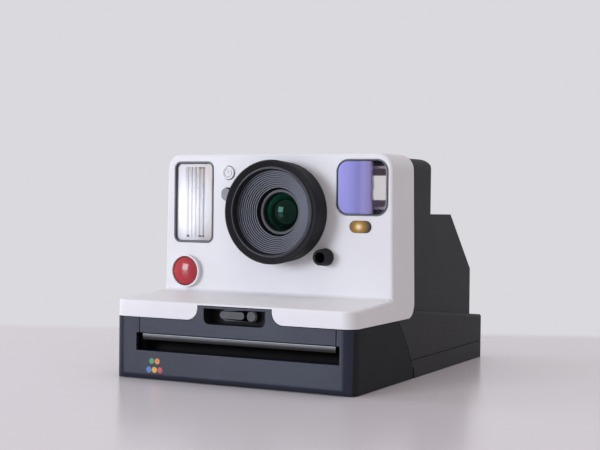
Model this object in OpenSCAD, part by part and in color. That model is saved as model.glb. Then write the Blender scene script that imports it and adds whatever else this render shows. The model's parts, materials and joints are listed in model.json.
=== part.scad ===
// Instant film camera for table or hand use, in millimetres.
// +X is right seen from the front, +Y runs to the rear, +Z is up. The base rests on Z = 0.

/* [Body] */
// overall width
body_w = 111; // [109:0.5:113]
// overall length, front to rear
body_l = 150; // [148:0.5:154]
// overall height to the top of the front shell
body_h = 95; // [93:0.5:97]
// wall thickness of the housings
wall = 2.2; // [2:0.1:2.4]
// plan radius of the front corners
corner_r = 5.4; // [4.5:0.1:6]
// plan radius of the rear corners
rear_r = 2.5; // [2.5:0.1:4]
// height of the seam between base and rear housing
seam_z = 8; // [7.5:0.1:8.4]

/* [Front shell] */
// height of the lower edge of the lip
lip_z = 26; // [25.6:0.1:26.4]
// height of the shelf at its front edge
shelf_z = 33; // [32.8:0.1:33.6]
// rise of the shelf up to the face
shelf_rise = 1.7; // [1:0.1:2.4]
// depth of the shelf in front of the face
shelf_depth = 38.5; // [38:0.1:39]
// depth of the upright behind its face
upright_t = 22.7; // [22.4:0.1:24]
// distance by which each side leans in up to the top
top_inset = 1.1; // [0.8:0.1:1.4]
// radius of the upright's top corners
top_r = 6.6; // [5:0.2:8]
// radius round the edge of the face
face_f = 1.4; // [1:0.1:2]

/* [Rear housing] */
// width of the ledge beside the upper housing
ledge_w = 1.5; // [1.3:0.1:1.8]
// distance of the housing's rear wall from the rear of the base
rear_inset = 12.6; // [12:0.1:13.4]
// height where the rear wall meets the slope
slope_z0 = 42.2; // [41:0.2:43]
// depth of the slope
slope_l = 28.1; // [27:0.1:29]
// depth of the high block behind the front shell
block_l = 24.6; // [24:0.1:25.4]
// height of the high block above the step
block_h = 24.4; // [24:0.1:25]
// height of the base ledge at the front shell
ledge_z0 = 28.9; // [28.6:0.1:29.2]
// height of the base ledge at the rear
ledge_z1 = 20.4; // [20:0.1:21]

/* [Lens] */
// sideways place of the lens axis
lens_x = 3.4; // [3:0.1:3.8]
// distance of the lens axis below the top
lens_drop = 24.9; // [24.6:0.1:25.4]
// radius of the lens ring at its front
lens_r = 22; // [21.4:0.1:22.2]
// distance that the ring stands out from the face
lens_out = 11; // [10:0.1:12]
// number of steps in the light baffle
baffle_steps = 11; // [8:1:12]
// radius of the front glass
glass_r = 8.2; // [7.6:0.1:8.4]

/* [Windows and buttons] */
// distance of the flash window from the side of the upright
flash_edge = 3.75; // [3.5:0.05:4]
// distance of the flash window from the lens ring
flash_gap = 11.95; // [11.5:0.05:12.2]
// distance of the flash window below the top
flash_drop = 3.4; // [3.2:0.1:4]
// height of the flash window above the shelf
flash_rise = 23; // [22.6:0.1:23.4]
// distance of the viewfinder from the side of the upright
finder_edge = 2; // [1.9:0.05:2.4]
// distance of the viewfinder from the lens ring
finder_gap = 3.6; // [3.4:0.05:4]
// distance of the viewfinder below the top
finder_drop = 2.5; // [2.4:0.1:3]
// height of the viewfinder frame
finder_h = 23.4; // [22.8:0.1:23.6]
// distance of the shutter button from the side of the upright
shutter_edge = 10.8; // [10.6:0.1:11.4]
// height of the shutter button above the shelf
shutter_rise = 10.4; // [10:0.1:10.8]
// radius of the shutter button
shutter_r = 6.2; // [5.8:0.1:6.3]
// gap between a moving piece and its neighbours
gap = 0.3; // [0.25:0.01:0.35]

/* [Door and rollers] */
// sideways place of the film slot, beside the gear train
film_x = 2.5; // [2:0.1:2.6]
// distance from the front of the body to the door hinge
hinge_back = 59.4; // [59:0.1:59.8]
// radius of the hinge knuckle
knuckle_r = 2.2; // [2.1:0.05:2.3]
// radius of the hinge pin
pin_r = 1; // [0.8:0.05:1.1]
// distance of the slot ends from the sides
slot_inset = 8.7; // [8.5:0.1:9]
// lower edge of the film slot
slot_z0 = 12.05; // [11.7:0.05:12.2]
// upper edge of the film slot
slot_z1 = 19.45; // [19.2:0.05:19.6]
// distance of the bar ends from the sides
bar_inset = 10; // [9.8:0.1:10.4]
// radius of the film rollers
roller_r = 3.5; // [3.3:0.05:3.55]
// height of the film between the rollers
nip_z = 15.2; // [15:0.1:15.3]
// distance of the rollers from the front of the body
roller_back = 13; // [12.8:0.1:13.4]
// radius of the roller shafts
shaft_r = 1.5; // [1.4:0.05:1.6]
// running clearance of a shaft in its bearing
fit = 0.05; // [0.03:0.01:0.08]
// sideways travel of the latch
latch_travel = 5; // [4.5:0.1:5.2]

/* [Gears] */
// tooth module of the roller gears
tooth_m = 0.62; // [0.61:0.005:0.63]
// pressure angle of the teeth
tooth_angle = 25; // [22:1:27]
// share of the tooth pitch left as play
tooth_play = 0.08; // [0.06:0.01:0.12]

/* [Hidden] */
$fn = 48;
half_w = body_w / 2;
front_y = -body_l / 2;
rear_y = body_l / 2;
face_y = front_y + shelf_depth;
back_y = face_y + upright_t;
inner_y = face_y + wall;
top_x = half_w - top_inset;
lip_f = 1;
lip_corner = 6.5;
notch_x = 17.2;
notch_z = shelf_z - 0.8;
notch_flare = 5;
house_y = rear_y - rear_inset;
slope_y = house_y - slope_l;
block_y = back_y + block_l;
block_z = body_h - 1.3;
slope_z1 = block_z - block_h;
slope_a = atan2(slope_z1 - slope_z0, slope_l);
upper_x = half_w - ledge_w;
block_x = top_x - 1.1;
block_r = 5;
ledge_a = atan2(ledge_z0 - ledge_z1, rear_y - back_y);
ledge_bevel = 1.5;
hinge_y = front_y + hinge_back;
hinge_z = knuckle_r + 0.2;
lug_x = half_w - 6.5;
seam_r = 61.7;
seam_cy = hinge_y - (seam_r - 1) * cos(23.7);
seam_cz = hinge_z - (seam_r - 1) * sin(23.7);
door_top = lip_z - gap;
slot_x = half_w - slot_inset;
bar_x = half_w - bar_inset;
roller_y = front_y + roller_back;
gear_d = 12 * tooth_m;
low_z = nip_z - gear_d / 2;
high_z = nip_z + gear_d / 2;
idler_y = roller_y + 14 * tooth_m;
pinion_y = idler_y + 13 * tooth_m * cos(22.5);
pinion_z = low_z - 13 * tooth_m * sin(22.5);
plate_x = half_w - 8.7;
plate_t = 2.2;
gear_t = 2.5;
motor_r = 5;
motor_l = 20;
gear_x = -plate_x - plate_t - 0.4 - gear_t;
bar_y = front_y + 2.6;
pocket_x = 14.2;
pocket_z0 = lip_z - 1.4;
pocket_z1 = notch_z - 1.1;
pocket_y = front_y + 7.3;
tongue_y = pocket_y + 1.9;
slider_z = pocket_z0 + 3.7;
slider_h = 4.8;
lens_z = body_h - lens_drop;
lens_taper = 0.6;
ring_left = lens_x - lens_r;
ring_right = lens_x + lens_r;
glass_y = face_y - 0.7;
mount_y = face_y + 4.5;
tube_y = face_y + 18.6;
glass_curve = 32;
blade_y = tube_y + 1.5;
blade_step = 0.9;
blade_x = 11;
blade_z = -8;
flash_w = top_x - flash_edge + ring_left - flash_gap;
flash_x = -(top_x - flash_edge - flash_w / 2);
flash_h = body_h - flash_drop - shelf_z - flash_rise;
flash_z = shelf_z + flash_rise + flash_h / 2;
finder_w = top_x - finder_edge - ring_right - finder_gap;
finder_x = top_x - finder_edge - finder_w / 2;
finder_z = body_h - finder_drop - finder_h / 2;
tunnel_w = finder_w - 3;
tunnel_h = 18;
field_y = face_y + 17.4;
field_side = 4.7;
field_w = tunnel_w - 2 * field_side;
field_h = tunnel_h - 7.6;
finder_curve = 60;
light_x = finder_x - 0.5;
light_z = finder_z - 16.3;
timer_x = ring_left - 4.3;
timer_z = body_h - 8.3;
timer_r = 2.85;
expo_x = ring_left - 5.5;
expo_z = lens_z + 7.3;
meter_x = lens_x + 21;
meter_z = lens_z - 18.6;
shutter_x = -(top_x - shutter_edge);
shutter_z = shelf_z + shutter_rise;
key_z = (slope_z1 + block_z) / 2;
power_x = -8;
power_r = 4.5;
light_key_x = -26;
light_key_r = 3.4;
mirror_x = half_w - 13.5;
mirror_l = norm([slope_l, slope_z1 - slope_z0]) - 5;
board_w = ring_left - 4.4 - (2.4 - top_x);
socket_x = -30;
socket_z = ledge_z0 + 2.4;
counter_x = -(block_x - 21.3);
counter_step = 5;
screw_in = 4.9;
screw_rear = 13;
screw_x = half_w - screw_in;
screw_spots = [for (sx = [-1, 1], y = [back_y + screw_in, rear_y - screw_rear]) [sx * screw_x, y]];

// half width of the leaning sides at a given height
function side_x(z) = half_w - top_inset * (z - lip_z) / (body_h - lip_z);

// outline drawn in Y and Z, drawn out along X
module along_x(x0, x1) {
  translate([x0, 0, 0]) rotate([90, 0, 90]) linear_extrude(x1 - x0) children();
}

// outline drawn in X and Z, drawn out along Y
module along_y(y0, y1) {
  translate([0, y1, 0]) rotate([90, 0, 0]) linear_extrude(y1 - y0) children();
}

module rod_x(x0, x1, r) {
  translate([x0, 0, 0]) rotate([0, 90, 0]) cylinder(h = x1 - x0, r = r);
}

module rod_y(y0, y1, r) {
  translate([0, y0, 0]) rotate([-90, 0, 0]) cylinder(h = y1 - y0, r = r);
}

module box(lo, hi) {
  translate(lo) cube(hi - lo);
}

// rectangle with rounded corners, centred
module rect_r(w, h, r) {
  square([w - 2 * r, h], center = true);
  square([w, h - 2 * r], center = true);
  for (sx = [-1, 1], sz = [-1, 1])
    translate([sx * (w / 2 - r), sz * (h / 2 - r)]) circle(r);
}

module ring_r(r, f) {
  rotate_extrude($fn = 32) translate([r - f, 0]) circle(f, $fn = 16);
}

// plan of the base, drawn in by a given distance
module base_plan(inset) {
  x = half_w - inset;
  y0 = front_y + inset;
  y1 = rear_y - inset;
  rf = corner_r - inset;
  rr = rear_r - inset;
  translate([-x, y0 + rf]) square([2 * x, y1 - y0 - rf - rr]);
  translate([-x + rf, y0]) square([2 * (x - rf), rf + 1]);
  translate([-x + rr, y1 - rr - 1]) square([2 * (x - rr), rr + 1]);
  for (s = [-1, 1]) {
    translate([s * (x - rf), y0 + rf]) circle(rf);
    translate([s * (x - rr), y1 - rr]) circle(rr);
  }
}

// involute flank: angle turned at radius r for a base circle rb
function roll_angle(r, rb) = sqrt(max(0, r * r / (rb * rb) - 1)) * 180 / PI - acos(min(1, rb / r));

// one gear in the plane, with a tooth centred on the given direction
module gear_outline(teeth, turn) {
  rp = teeth * tooth_m / 2;
  rb = rp * cos(tooth_angle);
  rt = rp + 0.8 * tooth_m;
  rr = rp - 1.05 * tooth_m;
  half = 90 / teeth * (1 - 2 * tooth_play) + roll_angle(rp, rb);
  lo = max(rb, rr + 0.05);
  radii = [for (i = [0:5]) lo + (rt - lo) * i / 5];
  polygon([for (k = [0:teeth - 1]) let (a = turn + k * 360 / teeth)
    each concat(
      [[rr * cos(a - half), rr * sin(a - half)]],
      [for (r = radii) let (b = a - half + roll_angle(r, rb)) [r * cos(b), r * sin(b)]],
      [for (i = [5:-1:0]) let (r = radii[i], b = a + half - roll_angle(r, rb)) [r * cos(b), r * sin(b)]],
      [[rr * cos(a + half), rr * sin(a + half)]])]);
}

module spur_gear(teeth, turn) {
  along_x(gear_x, gear_x + gear_t) gear_outline(teeth, turn);
}

// cut in the lip for the door's latch tongue, drawn in X and Z and drawn in by a clearance
module notch_shape(c) {
  x = notch_x - c;
  translate([-x, lip_z - 4]) square([2 * x, notch_z - lip_z + 4 - c]);
  for (s = [-1, 1])
    difference() {
      translate([s * (x + (notch_flare + c) / 2 - 0.25) - (notch_flare + c + 0.5) / 2, lip_z - 4])
        square([notch_flare + c + 0.5, notch_flare + 4]);
      translate([s * (notch_x + notch_flare), lip_z + notch_flare]) circle(notch_flare + c);
    }
}

module lip_solid() {
  hull() {
    for (s = [-1, 1]) {
      translate([s * (side_x(shelf_z) - corner_r), front_y + corner_r, shelf_z - lip_f])
        ring_r(corner_r, lip_f);
      translate([s * (half_w - corner_r), front_y + corner_r, lip_z])
        cylinder(h = 1, r = corner_r, $fn = 32);
      translate([s * (side_x(shelf_z + shelf_rise) - lip_f), 0, shelf_z + shelf_rise - lip_f])
        rod_y(face_y, face_y + 4, lip_f, $fn = 16);
      translate([s * (half_w - 0.5) - 0.5, back_y - 1, lip_z]) cube(1);
    }
  }
}

module upright_solid() {
  hull() {
    for (s = [-1, 1]) {
      translate([s * (top_x - top_r), face_y + face_f, body_h - top_r])
        rotate([90, 0, 0]) ring_r(top_r, face_f);
      translate([s * (top_x - top_r), 0, body_h - top_r]) rod_y(back_y - 1, back_y, top_r, $fn = 32);
      translate([s * (side_x(lip_z + 2) - face_f), face_y + face_f, lip_z + 2])
        cylinder(h = 1, r = face_f, $fn = 16);
      translate([s * (half_w - 0.5) - 0.5, back_y - 1, lip_z]) cube(1);
    }
  }
}

// fillet between shelf and face, running out at its ends
module shelf_fillet() {
  x = side_x(shelf_z) - face_f;
  z = shelf_z + shelf_rise;
  r = 1.6;
  intersection() {
    along_x(-x, x)
      difference() {
        translate([face_y - r, z - 0.6]) square([r + 0.5, r + 0.6]);
        translate([face_y - r, z + r - 0.05]) circle(r);
      }
    along_y(face_y - r - 1, face_y + 2)
      polygon([[-x, z - 1], [x, z - 1], [x, z], [x - r, z + r + 0.2], [r - x, z + r + 0.2], [-x, z]]);
  }
}

module front_shell() {
  color([0.88, 0.89, 0.91])
  difference() {
    union() {
      difference() {
        intersection() {
          union() {
            lip_solid();
            upright_solid();
            shelf_fillet();
          }
          along_x(-half_w - 1, half_w + 1)
            difference() {
              translate([front_y - 1, lip_z]) square([back_y - front_y + 1, body_h - lip_z + 1]);
              difference() {
                translate([back_y - lip_corner, lip_z - 1]) square([lip_corner + 1, lip_corner + 1]);
                translate([back_y - lip_corner, lip_z + lip_corner]) circle(lip_corner);
              }
            }
        }
        // hollow of the upright
        along_y(inner_y, back_y + 1)
          polygon([[-half_w + wall, lip_z - 1], [half_w - wall, lip_z - 1],
            [top_x - wall, body_h - wall - 4], [top_x - wall - 4, body_h - wall],
            [-top_x + wall + 4, body_h - wall], [-top_x + wall, body_h - wall - 4]]);
        // hollow of the lip
        intersection() {
          translate([0, 0, lip_z - 1]) linear_extrude(shelf_z - wall - lip_z + 1) base_plan(wall);
          box([-half_w, front_y, 0], [half_w, back_y + 1, body_h]);
        }
      }
      // posts for the front board
      for (p = [[-top_x + 4.4, shutter_z + 8.6], [ring_left - 4.3, shutter_z - 3.7],
          [ring_left - 4.3, shutter_z + 14.3]])
        translate([p[0], 0, p[1]]) rod_y(inner_y - 0.5, face_y + 6.4, 1.8);
    }
    translate([flash_x, 0, flash_z])
      along_y(face_y - 5, inner_y + 1) rect_r(flash_w + 0.2, flash_h + 0.2, 3.1);
    translate([finder_x, 0, finder_z])
      along_y(face_y - 5, inner_y + 1) rect_r(finder_w + 0.2, finder_h + 0.2, 5.3);
    translate([lens_x, 0, lens_z]) rod_y(face_y - 5, inner_y + 1, lens_r - 1.9);
    translate([shutter_x, 0, shutter_z]) rod_y(face_y - 5, inner_y + 1, shutter_r + 0.8);
    translate([timer_x, 0, timer_z]) rod_y(face_y - 5, inner_y + 1, timer_r + gap);
    translate([expo_x + 1, 0, expo_z]) along_y(face_y - 5, inner_y + 1) rect_r(7, 5.9, 2.9);
    translate([light_x, 0, light_z]) along_y(face_y - 5, inner_y + 1) rect_r(9.9, 5.1, 2.5);
    translate([meter_x, 0, meter_z]) rod_y(face_y - 5, inner_y + 1, 3.3);
    translate([film_x, 0, 0]) along_y(front_y - 1, tongue_y + gap) notch_shape(0);
  }
}

// side outline of the upper housing in Y and Z, drawn in by a given distance
module upper_side(inset) {
  y0 = back_y + 0.2 - inset * 2;
  y1 = house_y - inset;
  z1 = slope_z0 - inset * tan(45 - slope_a / 2);
  y2 = slope_y - inset * tan(slope_a / 2);
  z2 = slope_z1 - inset;
  y3 = block_y - inset;
  r = block_r - inset;
  polygon(concat([[y0, seam_z + 6], [y1, seam_z + 6], [y1, z1], [y2, z2], [y3, z2]],
    [for (a = [0:15:90]) [y3 - r + r * cos(a), block_z - inset - r + r * sin(a)]],
    [[y0, block_z - inset]]));
}

// front outline of the upper housing in X and Z with leaning sides
module upper_front(inset) {
  x = block_x - inset;
  z = block_z - inset;
  r = block_r - inset;
  polygon(concat([[-upper_x + inset, 0], [upper_x - inset, 0]],
    [for (a = [0:15:90]) [x - r + r * cos(a), z - r + r * sin(a)]],
    [for (a = [90:15:180]) [r - x + r * cos(a), z - r + r * sin(a)]]));
}

// plan with rounded rear corners, reaching back to a given Y
module plan_to(y1, y0, x, r) {
  translate([0, (y0 + y1) / 2 - 5]) rect_r(2 * x, y1 - y0 + 10, r);
}

module upper_solid(inset) {
  y0 = back_y + 0.2 - inset * 2;
  r = rear_r - inset;
  intersection() {
    along_x(-upper_x, upper_x) upper_side(inset);
    along_y(y0, rear_y) upper_front(inset);
    union() {
      linear_extrude(body_h) plan_to(block_y - inset, y0, block_x + 0.2 - inset, r);
      linear_extrude(slope_z1) plan_to(house_y - inset, y0, upper_x - inset, r);
    }
  }
}

// side outline of the base behind the door, drawn in by a given distance at top and rear
module base_side(inset, z0) {
  difference() {
    polygon([[front_y, z0], [rear_y - inset, z0], [rear_y - inset, ledge_z1 - inset],
      [back_y, ledge_z0 - inset], [back_y - 3, ledge_z0 + 0.3 - inset], [front_y, ledge_z0 + 0.3 - inset]]);
    translate([seam_cy, seam_cz]) circle(seam_r + 0.35, $fn = 180);
    translate([hinge_y, hinge_z]) circle(knuckle_r + 0.4);
    translate([back_y - lip_corner, lip_z + lip_corner]) circle(lip_corner + 0.2);
    translate([front_y - 1, lip_z - 0.2]) square([back_y - lip_corner - front_y + 1, 20]);
    translate([front_y - 1, -1]) square([hinge_back + knuckle_r + 1.4, hinge_z + 1]);
  }
}

module rear_housing() {
  color([0.2, 0.2, 0.22])
  difference() {
    union() {
      difference() {
        union() {
          upper_solid(0);
          difference() {
            intersection() {
              linear_extrude(body_h) base_plan(0);
              along_x(-half_w, half_w) base_side(0, seam_z + 0.15);
            }
            // bevel along the ledge
            for (s = [-1, 1])
              translate([s * half_w, back_y, ledge_z0]) rotate([-ledge_a, 0, 0]) rotate([0, 45, 0])
                box([-ledge_bevel / 2, 1, -ledge_bevel / 2], [ledge_bevel / 2, body_l, ledge_bevel / 2]);
          }
        }
        upper_solid(wall);
        intersection() {
          linear_extrude(body_h) base_plan(wall);
          along_x(-half_w, half_w) base_side(wall, 0);
        }
        // open front between the side walls
        box([-half_w + wall, front_y, 0], [half_w - wall, back_y + 0.2, ledge_z0 - 0.3]);
        box([-block_x + wall, front_y, lip_z - 1], [block_x - wall, back_y + 4, block_z - wall - 2]);
      }
      for (p = screw_spots)
        intersection() {
          translate([p[0], p[1], seam_z + 0.15]) cylinder(h = 30, r = 2.8);
          along_x(-half_w, half_w) base_side(wall / 2, 0);
        }
    }
    for (p = screw_spots)
      translate([p[0], p[1], 0]) cylinder(h = 14.5, r = 1.2);
    translate([finder_x, 0, finder_z]) along_y(block_y - wall - 1, block_y + 1) rect_r(16, 12, 2);
    translate([power_x, 0, key_z]) rod_y(block_y - wall - 1, block_y + 1, power_r + gap);
    translate([light_key_x, 0, key_z]) rod_y(block_y - wall - 1, block_y + 1, light_key_r + gap);
    translate([socket_x, 0, socket_z]) along_y(house_y - wall - 1, house_y + 1) rect_r(9.2, 3.5, 1.5);
    for (i = [0:7])
      translate([counter_x + counter_step * i, back_y + 9, block_z - wall - 1])
        cylinder(h = wall + 2, r = 0.95);
  }
}

module bottom_cover() {
  color([0.19, 0.19, 0.21])
  difference() {
    union() {
      difference() {
        intersection() {
          linear_extrude(seam_z - 0.15) base_plan(0);
          along_x(-half_w, half_w) base_side(0, 0);
        }
        box([-half_w + wall, hinge_y + 5, wall - 0.2], [half_w - wall, rear_y - wall, seam_z]);
        // low sill where the film pack slides in
        box([-half_w + 8.6, front_y, hinge_z + 1.8], [half_w - 8.6, hinge_y + 6, seam_z]);
      }
      for (p = screw_spots)
        translate([p[0], p[1], wall - 0.5]) cylinder(h = seam_z - wall + 0.35, r = 2.8);
      // lugs for the hinge pins
      for (s = [-1, 1])
        translate([s * lug_x, 0, 0]) {
          translate([0, hinge_y, hinge_z]) rod_x(-1.8, 1.8, knuckle_r);
          box([-1.8, hinge_y, hinge_z - 1.2], [1.8, hinge_y + 5.5, hinge_z + knuckle_r]);
        }
    }
    translate([0, hinge_y, hinge_z]) rod_x(-half_w, half_w, pin_r);
    for (p = screw_spots)
      translate([p[0], p[1], -1]) {
        cylinder(h = 20, r = 1.3);
        cylinder(h = 3.5, r = 2.2);
      }
  }
}

// frame over the film pack with the picture opening
module chassis() {
  color([0.13, 0.13, 0.14])
  difference() {
    translate([0, back_y, ledge_z0 - wall - 0.5]) rotate([-ledge_a, 0, 0])
      difference() {
        box([-half_w + wall + 0.1, -2, -1.8], [half_w - wall - 0.1, rear_y - back_y - 4, 0]);
        box([film_x - 39.5, 4, -3], [film_x + 39.5, rear_y - back_y - 9, 1]);
      }
    for (p = screw_spots)
      translate([p[0], p[1], 0]) cylinder(h = 40, r = 3);
  }
}

module lens_barrel() {
  color([0.24, 0.24, 0.27])
  translate([lens_x, 0, lens_z]) rotate([90, 0, 0]) translate([0, 0, -face_y])
    rotate_extrude($fn = 96)
      difference() {
        union() {
          polygon([[0, 0], [lens_r - lens_taper, 0], [lens_r, lens_out - 0.5], [lens_r - 0.5, lens_out],
            [0, lens_out]]);
          translate([0, -4.4]) square([lens_r - 2, 5]);
        }
        // stepped baffle, wide at the front
        for (i = [0:baffle_steps - 1])
          translate([0, lens_out - 3.2 - 7.4 * (i + 1) / baffle_steps])
            square([lens_r - 4.4 - (lens_r - 15) * i / baffle_steps, 8]);
        translate([0, lens_out - 3.2]) square([lens_r - 3.9, 10]);
        polygon([[0, lens_out - 0.9], [lens_r - 3.9, lens_out - 0.9], [lens_r - 2.9, lens_out + 0.1],
          [0, lens_out + 0.1]]);
        translate([0, -5]) square([glass_r + 1.75, 20]);
      }
}

module lens_bezel() {
  color([0.1, 0.1, 0.11])
  translate([lens_x, 0, lens_z])
    difference() {
      union() {
        rod_y(glass_y - 1.6, mount_y + 0.6, glass_r + 1.7);
        rod_y(mount_y, mount_y + 1.5, glass_r + 3.4);
      }
      rod_y(glass_y - 2, mount_y + 2, glass_r - 0.5);
      rod_y(glass_y - 2, glass_y + 2.5, glass_r + 0.05);
    }
}

module lens_front_glass() {
  color([0.3, 0.5, 0.4, 0.6])
  translate([lens_x, 0, lens_z])
    intersection() {
      rod_y(glass_y - 1.2, glass_y + 2.4, glass_r);
      translate([0, glass_y - 1 + glass_curve, 0]) sphere(glass_curve, $fn = 96);
    }
}

module lens_tube() {
  color([0.1, 0.1, 0.11])
  translate([lens_x, 0, lens_z])
    difference() {
      rod_y(mount_y + 1.6, tube_y, 12.5);
      rod_y(mount_y + 1, tube_y + 1, 8.6);
    }
}

module lens_rear_glass() {
  color([0.35, 0.5, 0.55, 0.6])
  translate([lens_x, 0, lens_z])
    intersection() {
      rod_y(tube_y - 6, tube_y - 2, 8.55);
      translate([0, tube_y - 2.2 - 26, 0]) sphere(26, $fn = 96);
    }
}

module shutter_plate() {
  color([0.16, 0.16, 0.17])
  translate([lens_x, 0, lens_z]) {
    difference() {
      rod_y(tube_y + 0.05, tube_y + 1.2, 16.5);
      rod_y(tube_y - 1, tube_y + 2, 5);
    }
    for (s = [-1, 1])
      translate([s * blade_x, 0, blade_z]) rod_y(tube_y + 1, tube_y + 3.6, 1.2);
  }
}

// one blade, drawn about its pivot, reaching to the lens axis
module blade(y0, s) {
  translate([lens_x - s * blade_x, 0, lens_z + blade_z])
    along_y(y0, y0 + 0.5)
      difference() {
        union() {
          circle(2.8);
          translate([s * blade_x, -blade_z]) circle(6);
          rotate(atan2(-blade_z, s * blade_x)) translate([0, -2.2]) square([10, 4.4]);
        }
        circle(1.2 + fit);
      }
}

module shutter_blade_a() {
  color([0.3, 0.3, 0.32]) blade(blade_y, 1);
}

module shutter_blade_b() {
  color([0.3, 0.3, 0.32]) blade(blade_y + blade_step, -1);
}

module flash_frame() {
  color([0.15, 0.15, 0.16])
  translate([flash_x, 0, flash_z])
    difference() {
      along_y(face_y - 0.3, inner_y + 1.6) rect_r(flash_w, flash_h, 3);
      along_y(face_y - 1, inner_y + 3) rect_r(flash_w - 1.6, flash_h - 1.6, 2.2);
    }
}

module flash_lens() {
  color([0.85, 0.88, 0.9, 0.6])
  translate([flash_x, 0, flash_z])
    difference() {
      along_y(face_y + 0.1, face_y + 2.2) rect_r(flash_w - 1.7, flash_h - 1.7, 2.15);
      // upright ribs on the back
      for (i = [-7:7])
        translate([i * 1.05, face_y + 2.45, -flash_h / 2]) cylinder(h = flash_h, r = 0.6, $fn = 16);
    }
}

module flash_reflector() {
  color([0.8, 0.8, 0.82])
  translate([flash_x, 0, flash_z])
    difference() {
      along_y(inner_y + 1.7, inner_y + 10) rect_r(flash_w - 2.6, flash_h - 2.6, 1);
      translate([0, inner_y + 1.5, -flash_h / 2 + 2.4])
        cylinder(h = flash_h - 4.8, r = min(flash_w / 2 - 2.2, 7.6));
      translate([0, inner_y + 5.5, -flash_h]) cylinder(h = 2 * flash_h, r = 1.5);
    }
}

module flash_tube() {
  color([0.85, 0.9, 0.92, 0.6])
  translate([flash_x, inner_y + 5.5, flash_z - flash_h / 2 + 0.5]) cylinder(h = flash_h - 1, r = 1.45);
}

module flash_capacitor() {
  color([0.16, 0.17, 0.2])
  translate([flash_x, inner_y + 14.6, flash_z - flash_h / 2 + 2.1]) cylinder(h = flash_h - 4.2, r = 4.5);
}

module finder_frame() {
  color([0.12, 0.12, 0.13])
  translate([finder_x, 0, finder_z])
    difference() {
      along_y(face_y - 0.4, inner_y + 0.9) rect_r(finder_w, finder_h, 5.2);
      along_y(face_y - 1, inner_y + 2) rect_r(finder_w - 1.2, finder_h - 1.2, 4.6);
    }
}

module finder_lens() {
  color([0.5, 0.5, 0.75, 0.6])
  translate([finder_x, 0, finder_z])
    intersection() {
      along_y(face_y + 0.2, face_y + 2.6) rect_r(finder_w - 1.3, finder_h - 1.3, 4.55);
      translate([0, face_y + 0.3 + finder_curve, -finder_h])
        cylinder(h = 2 * finder_h, r = finder_curve, $fn = 360);
    }
}

module finder_tunnel() {
  color([0.1, 0.1, 0.11])
  translate([finder_x, 0, finder_z])
    difference() {
      along_y(inner_y + 1, block_y - wall - 0.3) rect_r(tunnel_w, tunnel_h, 2);
      along_y(inner_y, block_y) rect_r(tunnel_w - 2, tunnel_h - 2, 1.5);
    }
}

// frame inside the finder that holds the rear lens
module finder_field() {
  color([0.1, 0.1, 0.11])
  translate([finder_x, 0, finder_z])
    difference() {
      along_y(field_y, field_y + 1.2) rect_r(tunnel_w - 2.1, tunnel_h - 2.1, 1.45);
      along_y(field_y - 1, field_y + 2) rect_r(field_w, field_h, 1);
    }
}

module finder_rear_lens() {
  color([0.8, 0.8, 0.85, 0.6])
  translate([finder_x, 0, finder_z])
    along_y(field_y - 0.3, field_y + 1.5) rect_r(field_w - 0.1, field_h - 0.1, 0.95);
}

module eyepiece_frame() {
  color([0.11, 0.11, 0.12])
  translate([finder_x, 0, finder_z])
    difference() {
      union() {
        along_y(block_y + 0.05, block_y + 1.8) rect_r(21, 17, 3);
        along_y(block_y - wall - 0.1, block_y + 0.5) rect_r(15.8, 11.8, 1.9);
      }
      along_y(block_y - 5, block_y + 3) rect_r(13, 9.4, 1.5);
    }
}

module eyepiece_lens() {
  color([0.6, 0.65, 0.75, 0.6])
  translate([finder_x, 0, finder_z]) along_y(block_y - 1.4, block_y + 0.6) rect_r(12.9, 9.3, 1.45);
}

module meter_hood() {
  color([0.1, 0.1, 0.11])
  translate([meter_x, 0, meter_z])
    difference() {
      union() {
        translate([0, face_y - 6, 0]) rotate([-90, 0, 0]) cylinder(h = 5.98, r1 = 3.3, r2 = 3.75);
        rod_y(face_y - 0.5, inner_y + 0.6, 3.25);
      }
      rod_y(face_y - 8, face_y - 0.6, 2.35);
    }
}

module meter_cell() {
  color([0.35, 0.32, 0.4])
  translate([meter_x, 0, meter_z]) rod_y(face_y - 1.8, face_y - 0.65, 2.3);
}

module timer_light() {
  color([0.85, 0.62, 0.12])
  translate([light_x, 0, light_z]) along_y(face_y - 0.5, inner_y + 1) rect_r(9.8, 5, 2.45);
}

module shutter_collar() {
  color([0.9, 0.9, 0.92])
  translate([shutter_x, 0, shutter_z])
    difference() {
      union() {
        rod_y(face_y - 2.3, face_y - 0.02, shutter_r + 0.95);
        rod_y(face_y - 0.5, inner_y + 1, shutter_r + 0.75);
      }
      rod_y(face_y - 6, inner_y + 2, shutter_r + gap);
    }
}

module shutter_button() {
  color([0.75, 0.16, 0.18])
  translate([shutter_x, 0, shutter_z])
    intersection() {
      rod_y(face_y - 3.2, inner_y + 1.4, shutter_r);
      translate([0, face_y - 3.2 + 30, 0]) sphere(30, $fn = 96);
    }
}

module timer_button() {
  color([0.9, 0.9, 0.92])
  translate([timer_x, 0, timer_z])
    difference() {
      rod_y(face_y - 0.9, inner_y + 1.4, timer_r);
      rod_y(face_y - 1.2, face_y - 0.65, timer_r - 0.5);
    }
}

module exposure_switch() {
  color([0.5, 0.5, 0.53])
  translate([expo_x, 0, expo_z]) {
    along_y(face_y - 0.6, inner_y + 0.4) rect_r(4.3, 5.2, 2.1);
    along_y(inner_y + 0.35, inner_y + 1.6) square([3.2, 6.6], center = true);
  }
}

module power_button() {
  color([0.2, 0.2, 0.22])
  translate([power_x, 0, key_z]) rod_y(block_y - wall - 2, block_y + 1.2, power_r);
}

module flash_button() {
  color([0.2, 0.2, 0.22])
  translate([light_key_x, 0, key_z]) rod_y(block_y - wall - 2, block_y + 1.2, light_key_r);
}

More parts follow.
